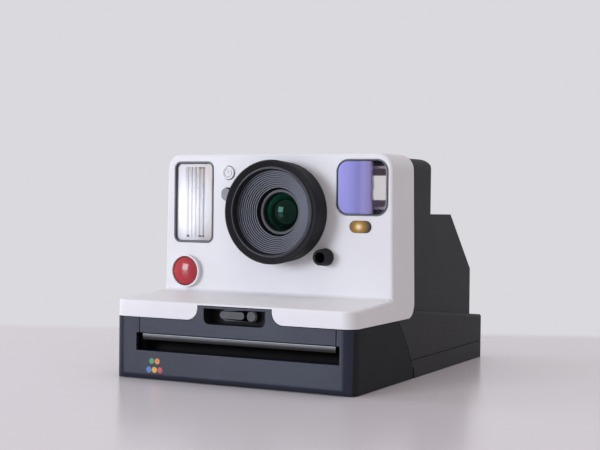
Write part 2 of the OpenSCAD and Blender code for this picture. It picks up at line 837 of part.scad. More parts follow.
module mirror() {
  color([0.75, 0.78, 0.8])
  translate([0, (house_y + slope_y) / 2, (slope_z0 + slope_z1) / 2]) rotate([-slope_a, 0, 0])
    box([-mirror_x, -mirror_l / 2, -wall - 2.1], [mirror_x, mirror_l / 2, -wall - 0.1]);
}

module main_board() {
  x = -block_x + wall;
  color([0.1, 0.35, 0.2])
  box([x + 0.1, back_y + 4.9, socket_z], [x + 1.7, slope_y - 2.2, slope_z1 - 9.7]);
}

module front_board() {
  color([0.1, 0.35, 0.2])
  along_y(face_y + 6.4, face_y + 8) {
    translate([-top_x + 2.4, shelf_z + 3.8]) square([board_w, 17]);
    translate([ring_left - 9.7, shelf_z + 3.8]) square([11.2, body_h - shelf_z - 8.8]);
  }
}

module battery() {
  color([0.6, 0.6, 0.65])
  box([block_x - wall - 8.1, back_y + 6.9, socket_z], [block_x - wall - 0.1, slope_y - 3.2, finder_z - 18.2]);
}

module usb_socket() {
  color([0.65, 0.65, 0.68])
  translate([socket_x, 0, socket_z]) {
    difference() {
      along_y(house_y - wall - 4, house_y - 0.2) rect_r(9, 3.3, 1.4);
      along_y(house_y - wall - 3, house_y) rect_r(8.4, 2.7, 1.1);
    }
    along_y(house_y - wall - 3.5, house_y - 0.8) square([6.6, 0.7], center = true);
  }
}

module counter_lights() {
  color([0.9, 0.75, 0.4])
  for (i = [0:7])
    translate([counter_x + counter_step * i, back_y + 9, block_z - wall - 0.4])
      cylinder(h = wall + 0.5, r = 0.9);
}

module hinge_pins() {
  color([0.7, 0.7, 0.72])
  for (s = [-1, 1])
    translate([s * (lug_x - 0.6), hinge_y, hinge_z]) rod_x(-4.4, 4.4, pin_r);
}

module base_screws() {
  color([0.6, 0.6, 0.62])
  for (p = screw_spots)
    translate([p[0], p[1], 0])
      difference() {
        union() {
          translate([0, 0, 0.9]) cylinder(h = 1.6, r = 2.1);
          translate([0, 0, 1]) cylinder(h = 13, r = 1.2);
        }
        // cross recess
        for (a = [0, 90])
          rotate(a) box([-1.2, -0.25, 0], [1.2, 0.25, 1.7]);
      }
}

module latch_keeper() {
  color([0.16, 0.16, 0.17])
  translate([film_x, 0, 0])
    box([-14.2, tongue_y + gap, lip_z + 0.6], [-10.2, tongue_y + 4.4, shelf_z - wall - 0.05]);
}

// side outline of the door in Y and Z
module door_side() {
  difference() {
    intersection() {
      union() {
        translate([front_y, 2.8]) square([hinge_back + 8, door_top - 2.8]);
        translate([front_y + 2.6, 0.2]) square([hinge_back + 8, 4]);
        translate([front_y + 2.6, 2.8]) circle(2.6);
      }
      translate([seam_cy, seam_cz]) circle(seam_r, $fn = 180);
    }
    translate([hinge_y, -1]) square([20, hinge_z + 1]);
  }
}

module door_shell() {
  color([0.2, 0.2, 0.22])
  difference() {
    union() {
      difference() {
        intersection() {
          along_x(-half_w - 1, half_w + 1) door_side();
          linear_extrude(body_h) base_plan(0);
        }
        // hollow behind the front wall
        translate([0, 0, wall]) linear_extrude(body_h) base_plan(wall);
      }
      translate([0, hinge_y, hinge_z]) rod_x(-half_w + 0.2, half_w - 0.2, knuckle_r);
    }
    translate([film_x, 0, 0]) {
      box([-slot_x, front_y - 1, slot_z0], [slot_x, front_y + wall + 1, slot_z1]);
      box([-bar_x, front_y - 1, slot_z1 - 0.5], [bar_x, front_y + wall + 1, body_h]);
    }
    for (s = [-1, 1])
      translate([s * lug_x, hinge_y, hinge_z]) {
        rod_x(-2.1, 2.1, knuckle_r + 0.5);
        rod_x(-5.1, 5.1, pin_r + fit);
      }
  }
}

module door_bar() {
  color([0.2, 0.2, 0.22])
  translate([film_x, 0, 0])
    difference() {
      union() {
        box([-bar_x + 0.1, front_y, slot_z1 + 0.1], [bar_x - 0.1, bar_y, door_top]);
        intersection() {
          along_y(front_y, tongue_y) notch_shape(gap);
          box([-40, front_y - 1, pocket_z0 - 1.3], [40, 0, body_h]);
        }
      }
      // finger pocket, round at its lower corners
      along_y(front_y - 1, pocket_y) {
        translate([0, (pocket_z0 + pocket_z1) / 2]) rect_r(2 * pocket_x, pocket_z1 - pocket_z0, 2.6);
        translate([-pocket_x, pocket_z1 - 3]) square([2 * pocket_x, 3]);
      }
      // slot for the latch stem
      box([-3.35, front_y, slider_z - 1.5], [1.35 + latch_travel, tongue_y + 1, slider_z + 1.5]);
    }
}

module latch_slider() {
  color([0.17, 0.17, 0.19])
  translate([film_x, 0, slider_z]) {
    difference() {
      translate([-0.2, 0, 0]) along_y(pocket_y - 2.6, pocket_y - gap) rect_r(16.6, slider_h, 2.3);
      // thumb hollow beside the raised disc
      translate([-2.7, 0, 0]) along_y(pocket_y - 3, pocket_y - 2.1) rect_r(9.6, 3.2, 1.5);
    }
    translate([5.6, 0, 0]) rod_y(pocket_y - 3.1, pocket_y - 1, 2.1);
    box([-3, pocket_y - 1, -1.2], [1, tongue_y + 1, 1.2]);
    box([-9.8, tongue_y + gap, -1.9], [3, tongue_y + 2.6, 1.9]);
  }
}

module film_shield() {
  color([0.08, 0.08, 0.09])
  translate([film_x, front_y + 3, slot_z1 - 1.6]) {
    difference() {
      rod_x(-bar_x + 1, bar_x - 1, 1.6);
      rod_x(-bar_x, bar_x, 1.2);
    }
    box([-bar_x + 1, -0.38, 1.3], [bar_x - 1, 0.02, 5]);
  }
}

module roller_plates() {
  color([0.3, 0.3, 0.32])
  translate([film_x, 0, 0])
    difference() {
      union() {
        box([-plate_x - plate_t, roller_y - 6, wall + 0.05], [-plate_x, pinion_y + 5, high_z + 3.8]);
        box([plate_x, roller_y - 6, wall + 0.05], [plate_x + plate_t, roller_y + 6, high_z + 3.8]);
        translate([0, idler_y, low_z]) rod_x(gear_x - 0.4, -plate_x - 1, 1.2);
      }
      for (z = [low_z, high_z])
        translate([0, roller_y, z]) rod_x(-half_w, half_w, shaft_r + fit);
      translate([0, pinion_y, pinion_z]) rod_x(-half_w, 0, 0.8 + fit);
      // cut above the idler and motor for the film edge
      box([-plate_x - plate_t - 1, roller_y + 6, low_z + 5.2], [-plate_x + 1, hinge_y, body_h]);
    }
}

module drive_motor() {
  color([0.62, 0.62, 0.65])
  translate([film_x, pinion_y, pinion_z]) {
    rod_x(-plate_x + 0.05, -plate_x + motor_l, motor_r);
    rod_x(-plate_x + motor_l - 0.5, -plate_x + motor_l + 2, 2);
  }
}

module roller(z) {
  translate([0, roller_y, z]) {
    rod_x(-plate_x + gap, plate_x - gap, roller_r);
    rod_x(gear_x + gear_t - 0.5, plate_x + plate_t + 0.2, shaft_r);
  }
}

module drive_roller() {
  color([0.7, 0.7, 0.72])
  translate([film_x, 0, 0]) {
    roller(low_z);
    translate([0, roller_y, low_z]) spur_gear(12, 0);
  }
}

module pressure_roller() {
  color([0.7, 0.7, 0.72])
  translate([film_x, 0, 0]) {
    roller(high_z);
    translate([0, roller_y, high_z]) spur_gear(12, 15);
  }
}

module idler_gear() {
  color([0.85, 0.83, 0.78])
  translate([film_x, idler_y, low_z])
    difference() {
      spur_gear(16, 11.25);
      rod_x(-half_w, 0, 1.2 + fit);
    }
}

module motor_pinion() {
  color([0.72, 0.6, 0.35])
  translate([film_x, pinion_y, pinion_z]) {
    spur_gear(10, 157.5);
    rod_x(gear_x + gear_t - 0.5, -plate_x - 0.1, 0.8);
  }
}

front_shell();
rear_housing();
bottom_cover();
chassis();
lens_barrel();
lens_bezel();
lens_front_glass();
lens_tube();
lens_rear_glass();
shutter_plate();
flash_frame();
flash_lens();
flash_reflector();
flash_tube();
flash_capacitor();
finder_frame();
finder_lens();
finder_tunnel();
finder_field();
finder_rear_lens();
eyepiece_frame();
eyepiece_lens();
meter_hood();
meter_cell();
timer_light();
shutter_collar();
mirror();
main_board();
front_board();
battery();
usb_socket();
counter_lights();
hinge_pins();
base_screws();
latch_keeper();
door_shell();
door_bar();
film_shield();
roller_plates();
drive_motor();
latch_slider();
shutter_button();
timer_button();
exposure_switch();
power_button();
flash_button();
drive_roller();
pressure_roller();
idler_gear();
motor_pinion();
shutter_blade_a();
shutter_blade_b();
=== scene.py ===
import json
import math
import bmesh
import bpy
from mathutils import Matrix, Vector


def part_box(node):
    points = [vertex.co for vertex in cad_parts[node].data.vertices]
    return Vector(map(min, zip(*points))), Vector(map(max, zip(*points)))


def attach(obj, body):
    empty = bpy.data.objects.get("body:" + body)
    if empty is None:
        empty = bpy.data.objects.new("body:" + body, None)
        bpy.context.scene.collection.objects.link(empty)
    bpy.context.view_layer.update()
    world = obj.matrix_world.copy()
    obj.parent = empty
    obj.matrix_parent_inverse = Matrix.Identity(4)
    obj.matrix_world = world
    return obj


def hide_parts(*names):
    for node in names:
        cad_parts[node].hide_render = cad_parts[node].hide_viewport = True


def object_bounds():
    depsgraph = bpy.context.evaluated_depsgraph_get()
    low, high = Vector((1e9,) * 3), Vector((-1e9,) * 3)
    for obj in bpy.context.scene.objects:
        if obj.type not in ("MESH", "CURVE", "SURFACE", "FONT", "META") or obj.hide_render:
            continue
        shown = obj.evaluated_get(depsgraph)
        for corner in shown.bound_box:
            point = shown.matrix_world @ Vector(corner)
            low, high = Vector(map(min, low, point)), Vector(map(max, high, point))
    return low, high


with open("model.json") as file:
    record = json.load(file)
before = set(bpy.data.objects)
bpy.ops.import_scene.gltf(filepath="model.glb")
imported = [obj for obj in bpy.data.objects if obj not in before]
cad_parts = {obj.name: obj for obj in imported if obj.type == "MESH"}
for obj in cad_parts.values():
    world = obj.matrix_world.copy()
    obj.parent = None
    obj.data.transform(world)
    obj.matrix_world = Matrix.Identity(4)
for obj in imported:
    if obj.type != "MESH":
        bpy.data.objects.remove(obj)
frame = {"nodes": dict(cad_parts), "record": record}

cadBox = [list(corner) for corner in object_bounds()]
mm = 0.001
scene = bpy.context.scene
scene.view_settings.view_transform = "Standard"
bodyOf = {node: body for body, members in frame["record"]["behaviour"]["bodies"].items() for node in members}
print("frame loaded", len(frame["nodes"]), "nodes")


def hexColour(code, alpha=1.0):
    channels = [int(code[i:i + 2], 16) / 255 for i in (1, 3, 5)]
    return tuple(c / 12.92 if c <= 0.04045 else ((c + 0.055) / 1.055) ** 2.4 for c in channels) + (alpha,)


def addNode(tree, kind, settings=None, inputs=None, links=None):
    node = tree.nodes.new(kind)
    for key, value in (settings or {}).items():
        setattr(node, key, value)
    for key, value in (inputs or {}).items():
        node.inputs[key].default_value = value
    for key, socket in (links or {}).items():
        tree.links.new(socket, node.inputs[key])
    return node


def newMaterial(name):
    mat = bpy.data.materials.new(name)
    mat.use_nodes = True
    mat.node_tree.nodes.clear()
    return mat, mat.node_tree


def finishMaterial(tree, shader):
    addNode(tree, "ShaderNodeOutputMaterial", links={"Surface": shader.outputs[0]})


def setStops(ramp, stops):
    for spare in list(ramp.elements)[1:]:
        ramp.elements.remove(spare)
    ramp.elements[0].position = stops[0][0]
    ramp.elements[0].color = hexColour(stops[0][1])
    for position, colour in stops[1:]:
        ramp.elements.new(position).color = hexColour(colour)


# Moulded plastic: the tool's grain breaks the highlight, the colour drifts a little across the piece
def mouldedPlastic(name, look):
    mat, tree = newMaterial(name)
    place = addNode(tree, "ShaderNodeTexCoord")
    drift = addNode(tree, "ShaderNodeTexNoise", inputs={"Scale": 1 / (look["driftMm"] * mm), "Detail": 3},
                    links={"Vector": place.outputs["Object"]})
    tint = addNode(tree, "ShaderNodeValToRGB", links={"Fac": drift.outputs["Fac"]})
    setStops(tint.color_ramp, [(0.35, look["dark"]), (0.65, look["light"])])
    grain = addNode(tree, "ShaderNodeTexNoise", inputs={"Scale": 1 / (look["grainMm"] * mm), "Detail": 2},
                    links={"Vector": place.outputs["Object"]})
    rough = addNode(tree, "ShaderNodeMapRange", inputs={"To Min": look["smooth"], "To Max": look["rough"]},
                    links={"Value": grain.outputs["Fac"]})
    bump = addNode(tree, "ShaderNodeBump", inputs={"Strength": look["bump"], "Distance": look["depthMm"] * mm},
                   links={"Height": grain.outputs["Fac"]})
    shader = addNode(tree, "ShaderNodeBsdfPrincipled",
                     inputs={"IOR": look.get("ior", 1.5), "Coat Weight": look.get("coat", 0.0),
                             "Coat Roughness": 0.1},
                     links={"Base Color": tint.outputs["Color"], "Roughness": rough.outputs["Result"],
                            "Normal": bump.outputs["Normal"]})
    finishMaterial(tree, shader)
    return mat


# Metal: fine lines along one direction from grinding, drawing or cutting
def workedMetal(name, look):
    mat, tree = newMaterial(name)
    place = addNode(tree, "ShaderNodeTexCoord")
    stretch = addNode(tree, "ShaderNodeMapping", inputs={"Scale": look["stretch"]},
                      links={"Vector": place.outputs["Object"]})
    lines = addNode(tree, "ShaderNodeTexNoise", inputs={"Scale": 1 / (look["lineMm"] * mm), "Detail": 4},
                    links={"Vector": stretch.outputs["Vector"]})
    tint = addNode(tree, "ShaderNodeValToRGB", links={"Fac": lines.outputs["Fac"]})
    setStops(tint.color_ramp, [(0.3, look["dark"]), (0.7, look["light"])])
    rough = addNode(tree, "ShaderNodeMapRange", inputs={"To Min": look["smooth"], "To Max": look["rough"]},
                    links={"Value": lines.outputs["Fac"]})
    bump = addNode(tree, "ShaderNodeBump", inputs={"Strength": 0.15, "Distance": 0.02 * mm},
                   links={"Height": lines.outputs["Fac"]})
    shader = addNode(tree, "ShaderNodeBsdfPrincipled", inputs={"Metallic": 1.0},
                     links={"Base Color": tint.outputs["Color"], "Roughness": rough.outputs["Result"],
                            "Normal": bump.outputs["Normal"]})
    finishMaterial(tree, shader)
    return mat


# Clear piece whose tint changes across it; bodyStops says how solid it looks, black clear and white solid
def tintedClear(name, where, look):
    mat, tree = newMaterial(name)
    place = addNode(tree, "ShaderNodeTexCoord")
    along = addNode(tree, "ShaderNodeMapping", inputs={"Location": where["shift"], "Scale": where["scale"]},
                    links={"Vector": place.outputs["Object"]})
    fade = addNode(tree, "ShaderNodeTexGradient", {"gradient_type": where["gradient"]},
                   links={"Vector": along.outputs["Vector"]})
    haze = addNode(tree, "ShaderNodeTexNoise", inputs={"Scale": 1 / (look["hazeMm"] * mm), "Detail": 3},
                   links={"Vector": place.outputs["Object"]})
    wander = addNode(tree, "ShaderNodeMath", {"operation": "MULTIPLY_ADD"}, {1: look["wander"]},
                     {0: haze.outputs["Fac"], 2: fade.outputs["Fac"]})
    tint = addNode(tree, "ShaderNodeValToRGB", links={"Fac": wander.outputs["Value"]})
    setStops(tint.color_ramp, look["stops"])
    rough = addNode(tree, "ShaderNodeMapRange", inputs={"To Min": look["smooth"], "To Max": look["rough"]},
                    links={"Value": haze.outputs["Fac"]})
    shader = addNode(tree, "ShaderNodeBsdfPrincipled",
                     inputs={"IOR": look["ior"], "Specular Tint": hexColour(look["film"]),
                             "Transmission Weight": look.get("clear", 0.0), "Coat Weight": look.get("coat", 0.0),
                             "Coat Roughness": 0.03, "Emission Color": hexColour(look.get("glow", "#000000")),
                             "Emission Strength": look.get("glowLevel", 0.0)},
                     links={"Base Color": tint.outputs["Color"], "Roughness": rough.outputs["Result"]})
    if "bodyStops" in look:
        body = addNode(tree, "ShaderNodeValToRGB", links={"Fac": wander.outputs["Value"]})
        setStops(body.color_ramp, look["bodyStops"])
        tree.links.new(body.outputs["Color"], shader.inputs["Alpha"])
    finishMaterial(tree, shader)
    return mat


def acrossNode(node):
    lo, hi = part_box(node)
    wide = hi.x - lo.x
    return {"shift": (-lo.x / wide, 0, 0), "scale": (1 / wide, 1, 1), "gradient": "LINEAR"}


def aboutNode(node, reach, offset=(0, 0, 0)):
    lo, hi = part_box(node)
    mid = (lo + hi) / 2 + Vector(offset) * mm
    scale = [1 / (r * mm) for r in reach]
    return {"shift": tuple(-c * k for c, k in zip(mid, scale)), "scale": scale, "gradient": "SPHERICAL"}


finishes = {
    # White ABS from a satin tool: cool white, soft broad highlight, no visible grain at arm's length
    "whiteAbs": mouldedPlastic("satin_moulded_white_ABS", {
        "dark": "#e3e3e4", "light": "#e9e9ea", "driftMm": 45, "grainMm": 0.5, "smooth": 0.38, "rough": 0.5,
        "bump": 0.1, "depthMm": 0.025}),
    # Black ABS from a spark-eroded tool: even charcoal with a fine sandy grain that kills reflections
    "blackAbs": mouldedPlastic("spark_textured_black_ABS", {
        "dark": "#19181c", "light": "#1f1e22", "driftMm": 30, "grainMm": 0.45, "smooth": 0.52, "rough": 0.74,
        "bump": 0.28, "depthMm": 0.05, "ior": 1.4}),
    # The door's ABS has a finer texture, so light from the window side slides over it as a sheen; its colour is also
    # tinted blue-grey as a painted sheen
    "doorAbs": mouldedPlastic("satin_black_ABS_door_painted_blue_sheen", {
        "dark": "#1d2130", "light": "#232838", "driftMm": 30, "grainMm": 0.5, "smooth": 0.3, "rough": 0.4,
        "bump": 0.14, "depthMm": 0.03, "ior": 1.36}),
    # Flanks of the door: the same plastic with a coarser texture and a darker colour, painted shade that keeps them
    # dark beside the front
    "flankAbs": mouldedPlastic("coarse_black_ABS_flank_painted_shade", {
        "dark": "#18181b", "light": "#1d1d20", "driftMm": 30, "grainMm": 0.5, "smooth": 0.62, "rough": 0.8,
        "bump": 0.3, "depthMm": 0.05, "ior": 1.32}),
    # Polycarbonate lens ring: fine matt black that keeps its rim dark in the window light
    "lensBlack": mouldedPlastic("fine_matt_black_polycarbonate", {
        "dark": "#1c1c1f", "light": "#232326", "driftMm": 12, "grainMm": 0.35, "smooth": 0.62, "rough": 0.78,
        "bump": 0.14, "depthMm": 0.025, "ior": 1.33}),
    # Sloping rim of the ring: semi-gloss, dark until it faces the window
    "rimBlack": mouldedPlastic("semi_gloss_black_polycarbonate_rim", {
        "dark": "#0f0f12", "light": "#151518", "driftMm": 12, "grainMm": 0.5, "smooth": 0.22, "rough": 0.3,
        "bump": 0.04, "depthMm": 0.01, "ior": 1.34}),
    # Inside of the ring: a smoother tool; the ridge and the cone's fine steps are coloured cool grey as a painted sheen
    "coneBlack": mouldedPlastic("black_polycarbonate_cone_painted_sheen", {
        "dark": "#454957", "light": "#4f5363", "driftMm": 10, "grainMm": 0.4, "smooth": 0.34, "rough": 0.44,
        "bump": 0.08, "depthMm": 0.02}),
    # Chamfer of the ring: coloured grey as a painted highlight, a bright thin line round the opening
    "chamferGrey": mouldedPlastic("grey_polycarbonate_edge_painted_highlight", {
        "dark": "#54555c", "light": "#5f6068", "driftMm": 9, "grainMm": 0.5, "smooth": 0.26, "rough": 0.36,
        "bump": 0.04, "depthMm": 0.01}),
    # Bezel ring round the glass: the same plastic with a worn satin edge, greyer than its cone
    "bezelGrey": mouldedPlastic("satin_grey_polycarbonate_ring", {
        "dark": "#2c2c30", "light": "#36363b", "driftMm": 6, "grainMm": 0.35, "smooth": 0.38, "rough": 0.52,
        "bump": 0.1, "depthMm": 0.02}),
    # Gloss black acrylic trim: deep black with a sharp edge of light
    "trimBlack": mouldedPlastic("gloss_black_acrylic_trim", {
        "dark": "#151518", "light": "#1c1c1f", "driftMm": 10, "grainMm": 0.6, "smooth": 0.16, "rough": 0.3,
        "bump": 0.05, "depthMm": 0.02}),
    # Flash frame: smoke-grey styrene, darker in its recess
    "smokeGrey": mouldedPlastic("smoke_grey_moulded_styrene", {
        "dark": "#45484e", "light": "#53565d", "driftMm": 8, "grainMm": 0.4, "smooth": 0.3, "rough": 0.44,
        "bump": 0.08, "depthMm": 0.02}),
    # Inner black ABS: rough tool, swallows light; in the lens ring's groove, cone and well, round the bezel and in the
    # meter hood's bore it also stands as painted shade of those hollows
    "innerBlack": mouldedPlastic("dull_dark_inner_ABS_and_painted_hollow_shade", {
        "dark": "#0d0d0e", "light": "#131314", "driftMm": 14, "grainMm": 0.5, "smooth": 0.68, "rough": 0.88,
        "bump": 0.35, "depthMm": 0.07}),
    # Finger pocket of the door: the same ABS left dull and darkened as painted shade, so it reads as a dark hollow
    "pocketBlack": mouldedPlastic("dull_black_ABS_pocket_painted_shade", {
        "dark": "#121213", "light": "#171718", "driftMm": 8, "grainMm": 0.5, "smooth": 0.6, "rough": 0.8,
        "bump": 0.25, "depthMm": 0.05, "ior": 1.4}),
    # Latch in satin black ABS: a touch lighter than the pocket round it
    "latchBlack": mouldedPlastic("satin_black_moulded_ABS", {
        "dark": "#26262a", "light": "#2d2d31", "driftMm": 5, "grainMm": 0.4, "smooth": 0.34, "rough": 0.48,
        "bump": 0.1, "depthMm": 0.02}),
    # Red ABS button under clear lacquer: deep red body, sharp window-shaped highlight
    "redKey": mouldedPlastic("lacquered_red_moulded_ABS", {
        "dark": "#a4222b", "light": "#b32b34", "driftMm": 6, "grainMm": 0.8, "smooth": 0.2, "rough": 0.28,
        "bump": 0.02, "depthMm": 0.01, "coat": 0.8, "ior": 1.28}),
    # Grey ABS switch: satin, slightly darker in the moulded corners
    "greySwitch": mouldedPlastic("satin_grey_moulded_ABS", {
        "dark": "#7d7e83", "light": "#898a8f", "driftMm": 4, "grainMm": 0.35, "smooth": 0.36, "rough": 0.5,
        "bump": 0.1, "depthMm": 0.02}),
    # Polyester film of the shield: gloss black sheet whose waviness bends a long highlight
    "shieldFilm": mouldedPlastic("gloss_black_polyester_film", {
        "dark": "#060607", "light": "#0b0b0d", "driftMm": 20, "grainMm": 9, "smooth": 0.08, "rough": 0.14,
        "bump": 0.2, "depthMm": 0.3, "ior": 1.55}),
    # Natural nylon gears: milky ivory, waxy highlight
    "nylonGear": mouldedPlastic("natural_moulded_nylon", {
        "dark": "#c9c3b2", "light": "#d6d1c3", "driftMm": 3, "grainMm": 0.4, "smooth": 0.35, "rough": 0.5,
        "bump": 0.1, "depthMm": 0.02}),
    # Lacquered board: glossy green resist over copper that shows as paler patches
    "boardLacquer": mouldedPlastic("green_lacquered_circuit_board", {
        "dark": "#174a2c", "light": "#1f6138", "driftMm": 2.2, "grainMm": 0.6, "smooth": 0.25, "rough": 0.4,
        "bump": 0.2, "depthMm": 0.03}),
    # Shrunk PVC sleeve of the capacitor: dark blue, glossy, slightly wrinkled
    "sleeve": mouldedPlastic("shrunk_dark_blue_PVC_sleeve", {
        "dark": "#1a2030", "light": "#232b40", "driftMm": 5, "grainMm": 1.2, "smooth": 0.2, "rough": 0.32,
        "bump": 0.15, "depthMm": 0.04}),
    # Film rollers: near-black and almost without shine, painted shade of the slot behind the film shield
    "rollerRubber": mouldedPlastic("near_black_roller_painted_shade", {
        "dark": "#080809", "light": "#0d0d0e", "driftMm": 6, "grainMm": 0.3, "smooth": 0.7, "rough": 0.9,
        "bump": 0.3, "depthMm": 0.03, "ior": 1.3}),
    # Grey pad-printed ink of the timer mark: thin, flat, dry
    "markInk": mouldedPlastic("grey_pad_printed_ink", {
        "dark": "#9a9ca2", "light": "#a6a8ae", "driftMm": 0.8, "grainMm": 0.2, "smooth": 0.55, "rough": 0.7,
        "bump": 0.1, "depthMm": 0.01}),
    # Stainless pins and screws: lengthwise grinding lines
    "steel": workedMetal("ground_stainless_steel", {
        "dark": "#9a9a9e", "light": "#b8b8bc", "stretch": (0.05, 1, 1), "lineMm": 0.25,
        "smooth": 0.18, "rough": 0.34}),
    # Cut brass pinion: warm yellow, cutter lines along the teeth
    "brass": workedMetal("cut_brass", {
        "dark": "#a88344", "light": "#c39c58", "stretch": (0.1, 1, 1), "lineMm": 0.3,
        "smooth": 0.2, "rough": 0.36}),
    # Drawn and zinc-plated motor can: cool grey, soft lines along the draw
    "motorCan": workedMetal("drawn_zinc_plated_can", {
        "dark": "#8e9092", "light": "#a9abad", "stretch": (0.05, 1, 1), "lineMm": 0.5,
        "smooth": 0.25, "rough": 0.42}),
    # Aluminium foil pouch of the battery: pressed, faintly crinkled
    "foil": workedMetal("pressed_aluminium_foil_pouch", {
        "dark": "#9b9da2", "light": "#b5b7bc", "stretch": (1, 1, 1), "lineMm": 1.5,
        "smooth": 0.3, "rough": 0.5}),
    # Vacuum-plated reflector: bright, slightly streaked along its height
    "reflector": workedMetal("vacuum_plated_reflector", {
        "dark": "#dcdcde", "light": "#efeff0", "stretch": (1, 1, 0.1), "lineMm": 1.2,
        "smooth": 0.1, "rough": 0.25}),
    # Front-silvered mirror: almost no haze
    "mirrorCoat": workedMetal("front_silvered_mirror_glass", {
        "dark": "#d4d6d8", "light": "#dee0e2", "stretch": (1, 1, 1), "lineMm": 20,
        "smooth": 0.01, "rough": 0.04}),
    # Prismatic polycarbonate over the flash: milky white towards its lower left as painted glare with a faint painted
    # glow, beige at its far edge
    "flashGlareClear": tintedClear("prismatic_polycarbonate_painted_glare",
        aboutNode("flash_lens", (14, 40, 25), (-3.5, 0, -4)), {
        "stops": [(0.0, "#ae9f94"), (0.14, "#bdb3aa"), (0.3, "#c0c0c2"), (0.5, "#dadbdd"), (0.7, "#f6f7f8")],
        "hazeMm": 3, "wander": 0.03, "smooth": 0.06, "rough": 0.14, "ior": 1.45, "film": "#ffffff",
        "glow": "#fffdfa", "glowLevel": 0.02}),
    # Drawn quartz tube: clear and bright
    "tubeGlass": tintedClear("drawn_quartz_tube", acrossNode("flash_tube"), {
        "stops": [(0.0, "#e4e8ea"), (1.0, "#f2f5f6")], "hazeMm": 2, "wander": 0.05, "smooth": 0.02, "rough": 0.06,
        "ior": 1.46, "film": "#ffffff", "clear": 0.8}),
    # Acrylic eyepiece: clear with a grey depth
    "eyeGlass": tintedClear("polished_acrylic_eyepiece", acrossNode("eyepiece_lens"), {
        "stops": [(0.0, "#7d828a"), (1.0, "#9a9fa8")], "hazeMm": 5, "wander": 0.1, "smooth": 0.02, "rough": 0.06,
        "ior": 1.49, "film": "#ffffff", "clear": 0.6}),
    # Finder tunnel: coloured pale mauve-grey as painted light, since little light gets in; so it reads brown-black
    # behind the clear glass
    "tunnelGrey": mouldedPlastic("pale_inner_ABS_tunnel_painted_light", {
        "dark": "#b0a3aa", "light": "#bbaeb5", "driftMm": 4, "grainMm": 0.6, "smooth": 0.6, "rough": 0.8,
        "bump": 0.2, "depthMm": 0.05}),
    # Rear finder lens: ground pane with a painted glow for the daylight of the eyepiece, so it stays pale in its dark
    # tunnel
    "fieldPane": tintedClear("ground_acrylic_field_pane_painted_glow", acrossNode("finder_rear_lens"), {
        "stops": [(0.0, "#d5d1d2"), (1.0, "#e4e1e2")], "hazeMm": 2, "wander": 0.2, "smooth": 0.4, "rough": 0.55,
        "ior": 1.49, "film": "#ffffff", "glow": "#dedadb", "glowLevel": 0.8}),
    # Violet-coated finder glass: violet painted reflection of the pale room on its near side, clearing to plum at the
    # far one
    "finderGlassReflection": tintedClear("violet_finder_glass_painted_reflection", acrossNode("finder_lens"), {
        "stops": [(0.02, "#9391d2"), (0.3, "#7674b2"), (0.44, "#5f5d94"), (0.55, "#766fa0"), (0.66, "#6d6084"),
                  (0.73, "#4c3f4d"), (0.8, "#40373f"), (1.0, "#463e44")],
        "bodyStops": [(0.71, "#ffffff"), (0.765, "#404040")],
        "hazeMm": 5, "wander": 0.05, "smooth": 0.03, "rough": 0.08, "ior": 1.36, "film": "#c9c4ff"}),
    # Meter cell behind its hood: dark smoked glass with a violet trace
    "cellGlass": tintedClear("smoked_cell_glass", acrossNode("meter_cell"), {
        "stops": [(0.0, "#0a090c"), (1.0, "#121016")], "hazeMm": 1, "wander": 0.2, "smooth": 0.05, "rough": 0.12,
        "ior": 1.3, "film": "#4a4658"}),
    # Green-coated crown glass: black depth, green towards the rim and brightest at its upper left as painted
    # reflection, sharp window highlights
    "lensGlass": tintedClear("green_crown_glass_painted_rim_reflection",
        aboutNode("lens_front_glass", (9.4, 30, 9.4), (1.6, 0, -0.8)), {
        "stops": [(0.0, "#36a07b"), (0.08, "#22664e"), (0.2, "#133a2c"), (0.4, "#0a1812"), (1.0, "#050807")],
        "hazeMm": 4, "wander": 0.12, "smooth": 0.02, "rough": 0.05, "ior": 1.4, "film": "#8fe0c2"}),
    # Frosted amber polycarbonate: pale where the lamp sits behind it, darkening to brown towards its ends and edges as
    # painted shade of its recess
    "amberLens": tintedClear("frosted_amber_polycarbonate_painted_edge_shade",
        aboutNode("timer_light", (5.0, 30, 4.4), (-0.6, 0, 0)), {
        "stops": [(0.0, "#241902"), (0.2, "#5e4404"), (0.4, "#8a6208"), (0.55, "#9a700e"), (0.7, "#bd9338"),
                  (0.84, "#ebce98"), (1.0, "#fbe8c6")],
        "hazeMm": 1.2, "wander": 0.04, "smooth": 0.2, "rough": 0.3, "ior": 1.24, "film": "#ffffff"}),
    # Counter lights: small frosted domes, warm white
    "countLens": tintedClear("frosted_warm_light_dome", acrossNode("counter_lights"), {
        "stops": [(0.0, "#d8c79a"), (1.0, "#e4d6b0")], "hazeMm": 0.6, "wander": 0.2, "smooth": 0.25, "rough": 0.4,
        "ior": 1.5, "film": "#ffffff"}),
}
print("finishes", len(finishes))


# Turns what the modifiers give into the piece's own mesh
def settle(piece):
    bpy.context.view_layer.update()
    flat = bpy.data.meshes.new_from_object(piece.evaluated_get(bpy.context.evaluated_depsgraph_get()))
    piece.modifiers.clear()
    piece.data = flat


# Hangs the piece on its body and hides the nodes it stands for
def hangPiece(piece, body, stands):
    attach(piece, body)
    for node in stands:
        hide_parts(node)
    return piece


# Ends the mesh work and gives the mesh its finishes, in the order of its material indices
def endMesh(work, name, looks):
    mesh = bpy.data.meshes.new(name)
    work.to_mesh(mesh)
    work.free()
    for look in looks:
        mesh.materials.append(finishes[look])
    return mesh


edges = {"bevelDeg": 38, "segments": 2, "sharpDeg": 32, "turnedDeg": 28, "sheetDeg": 60, "repeatedDeg": 40}


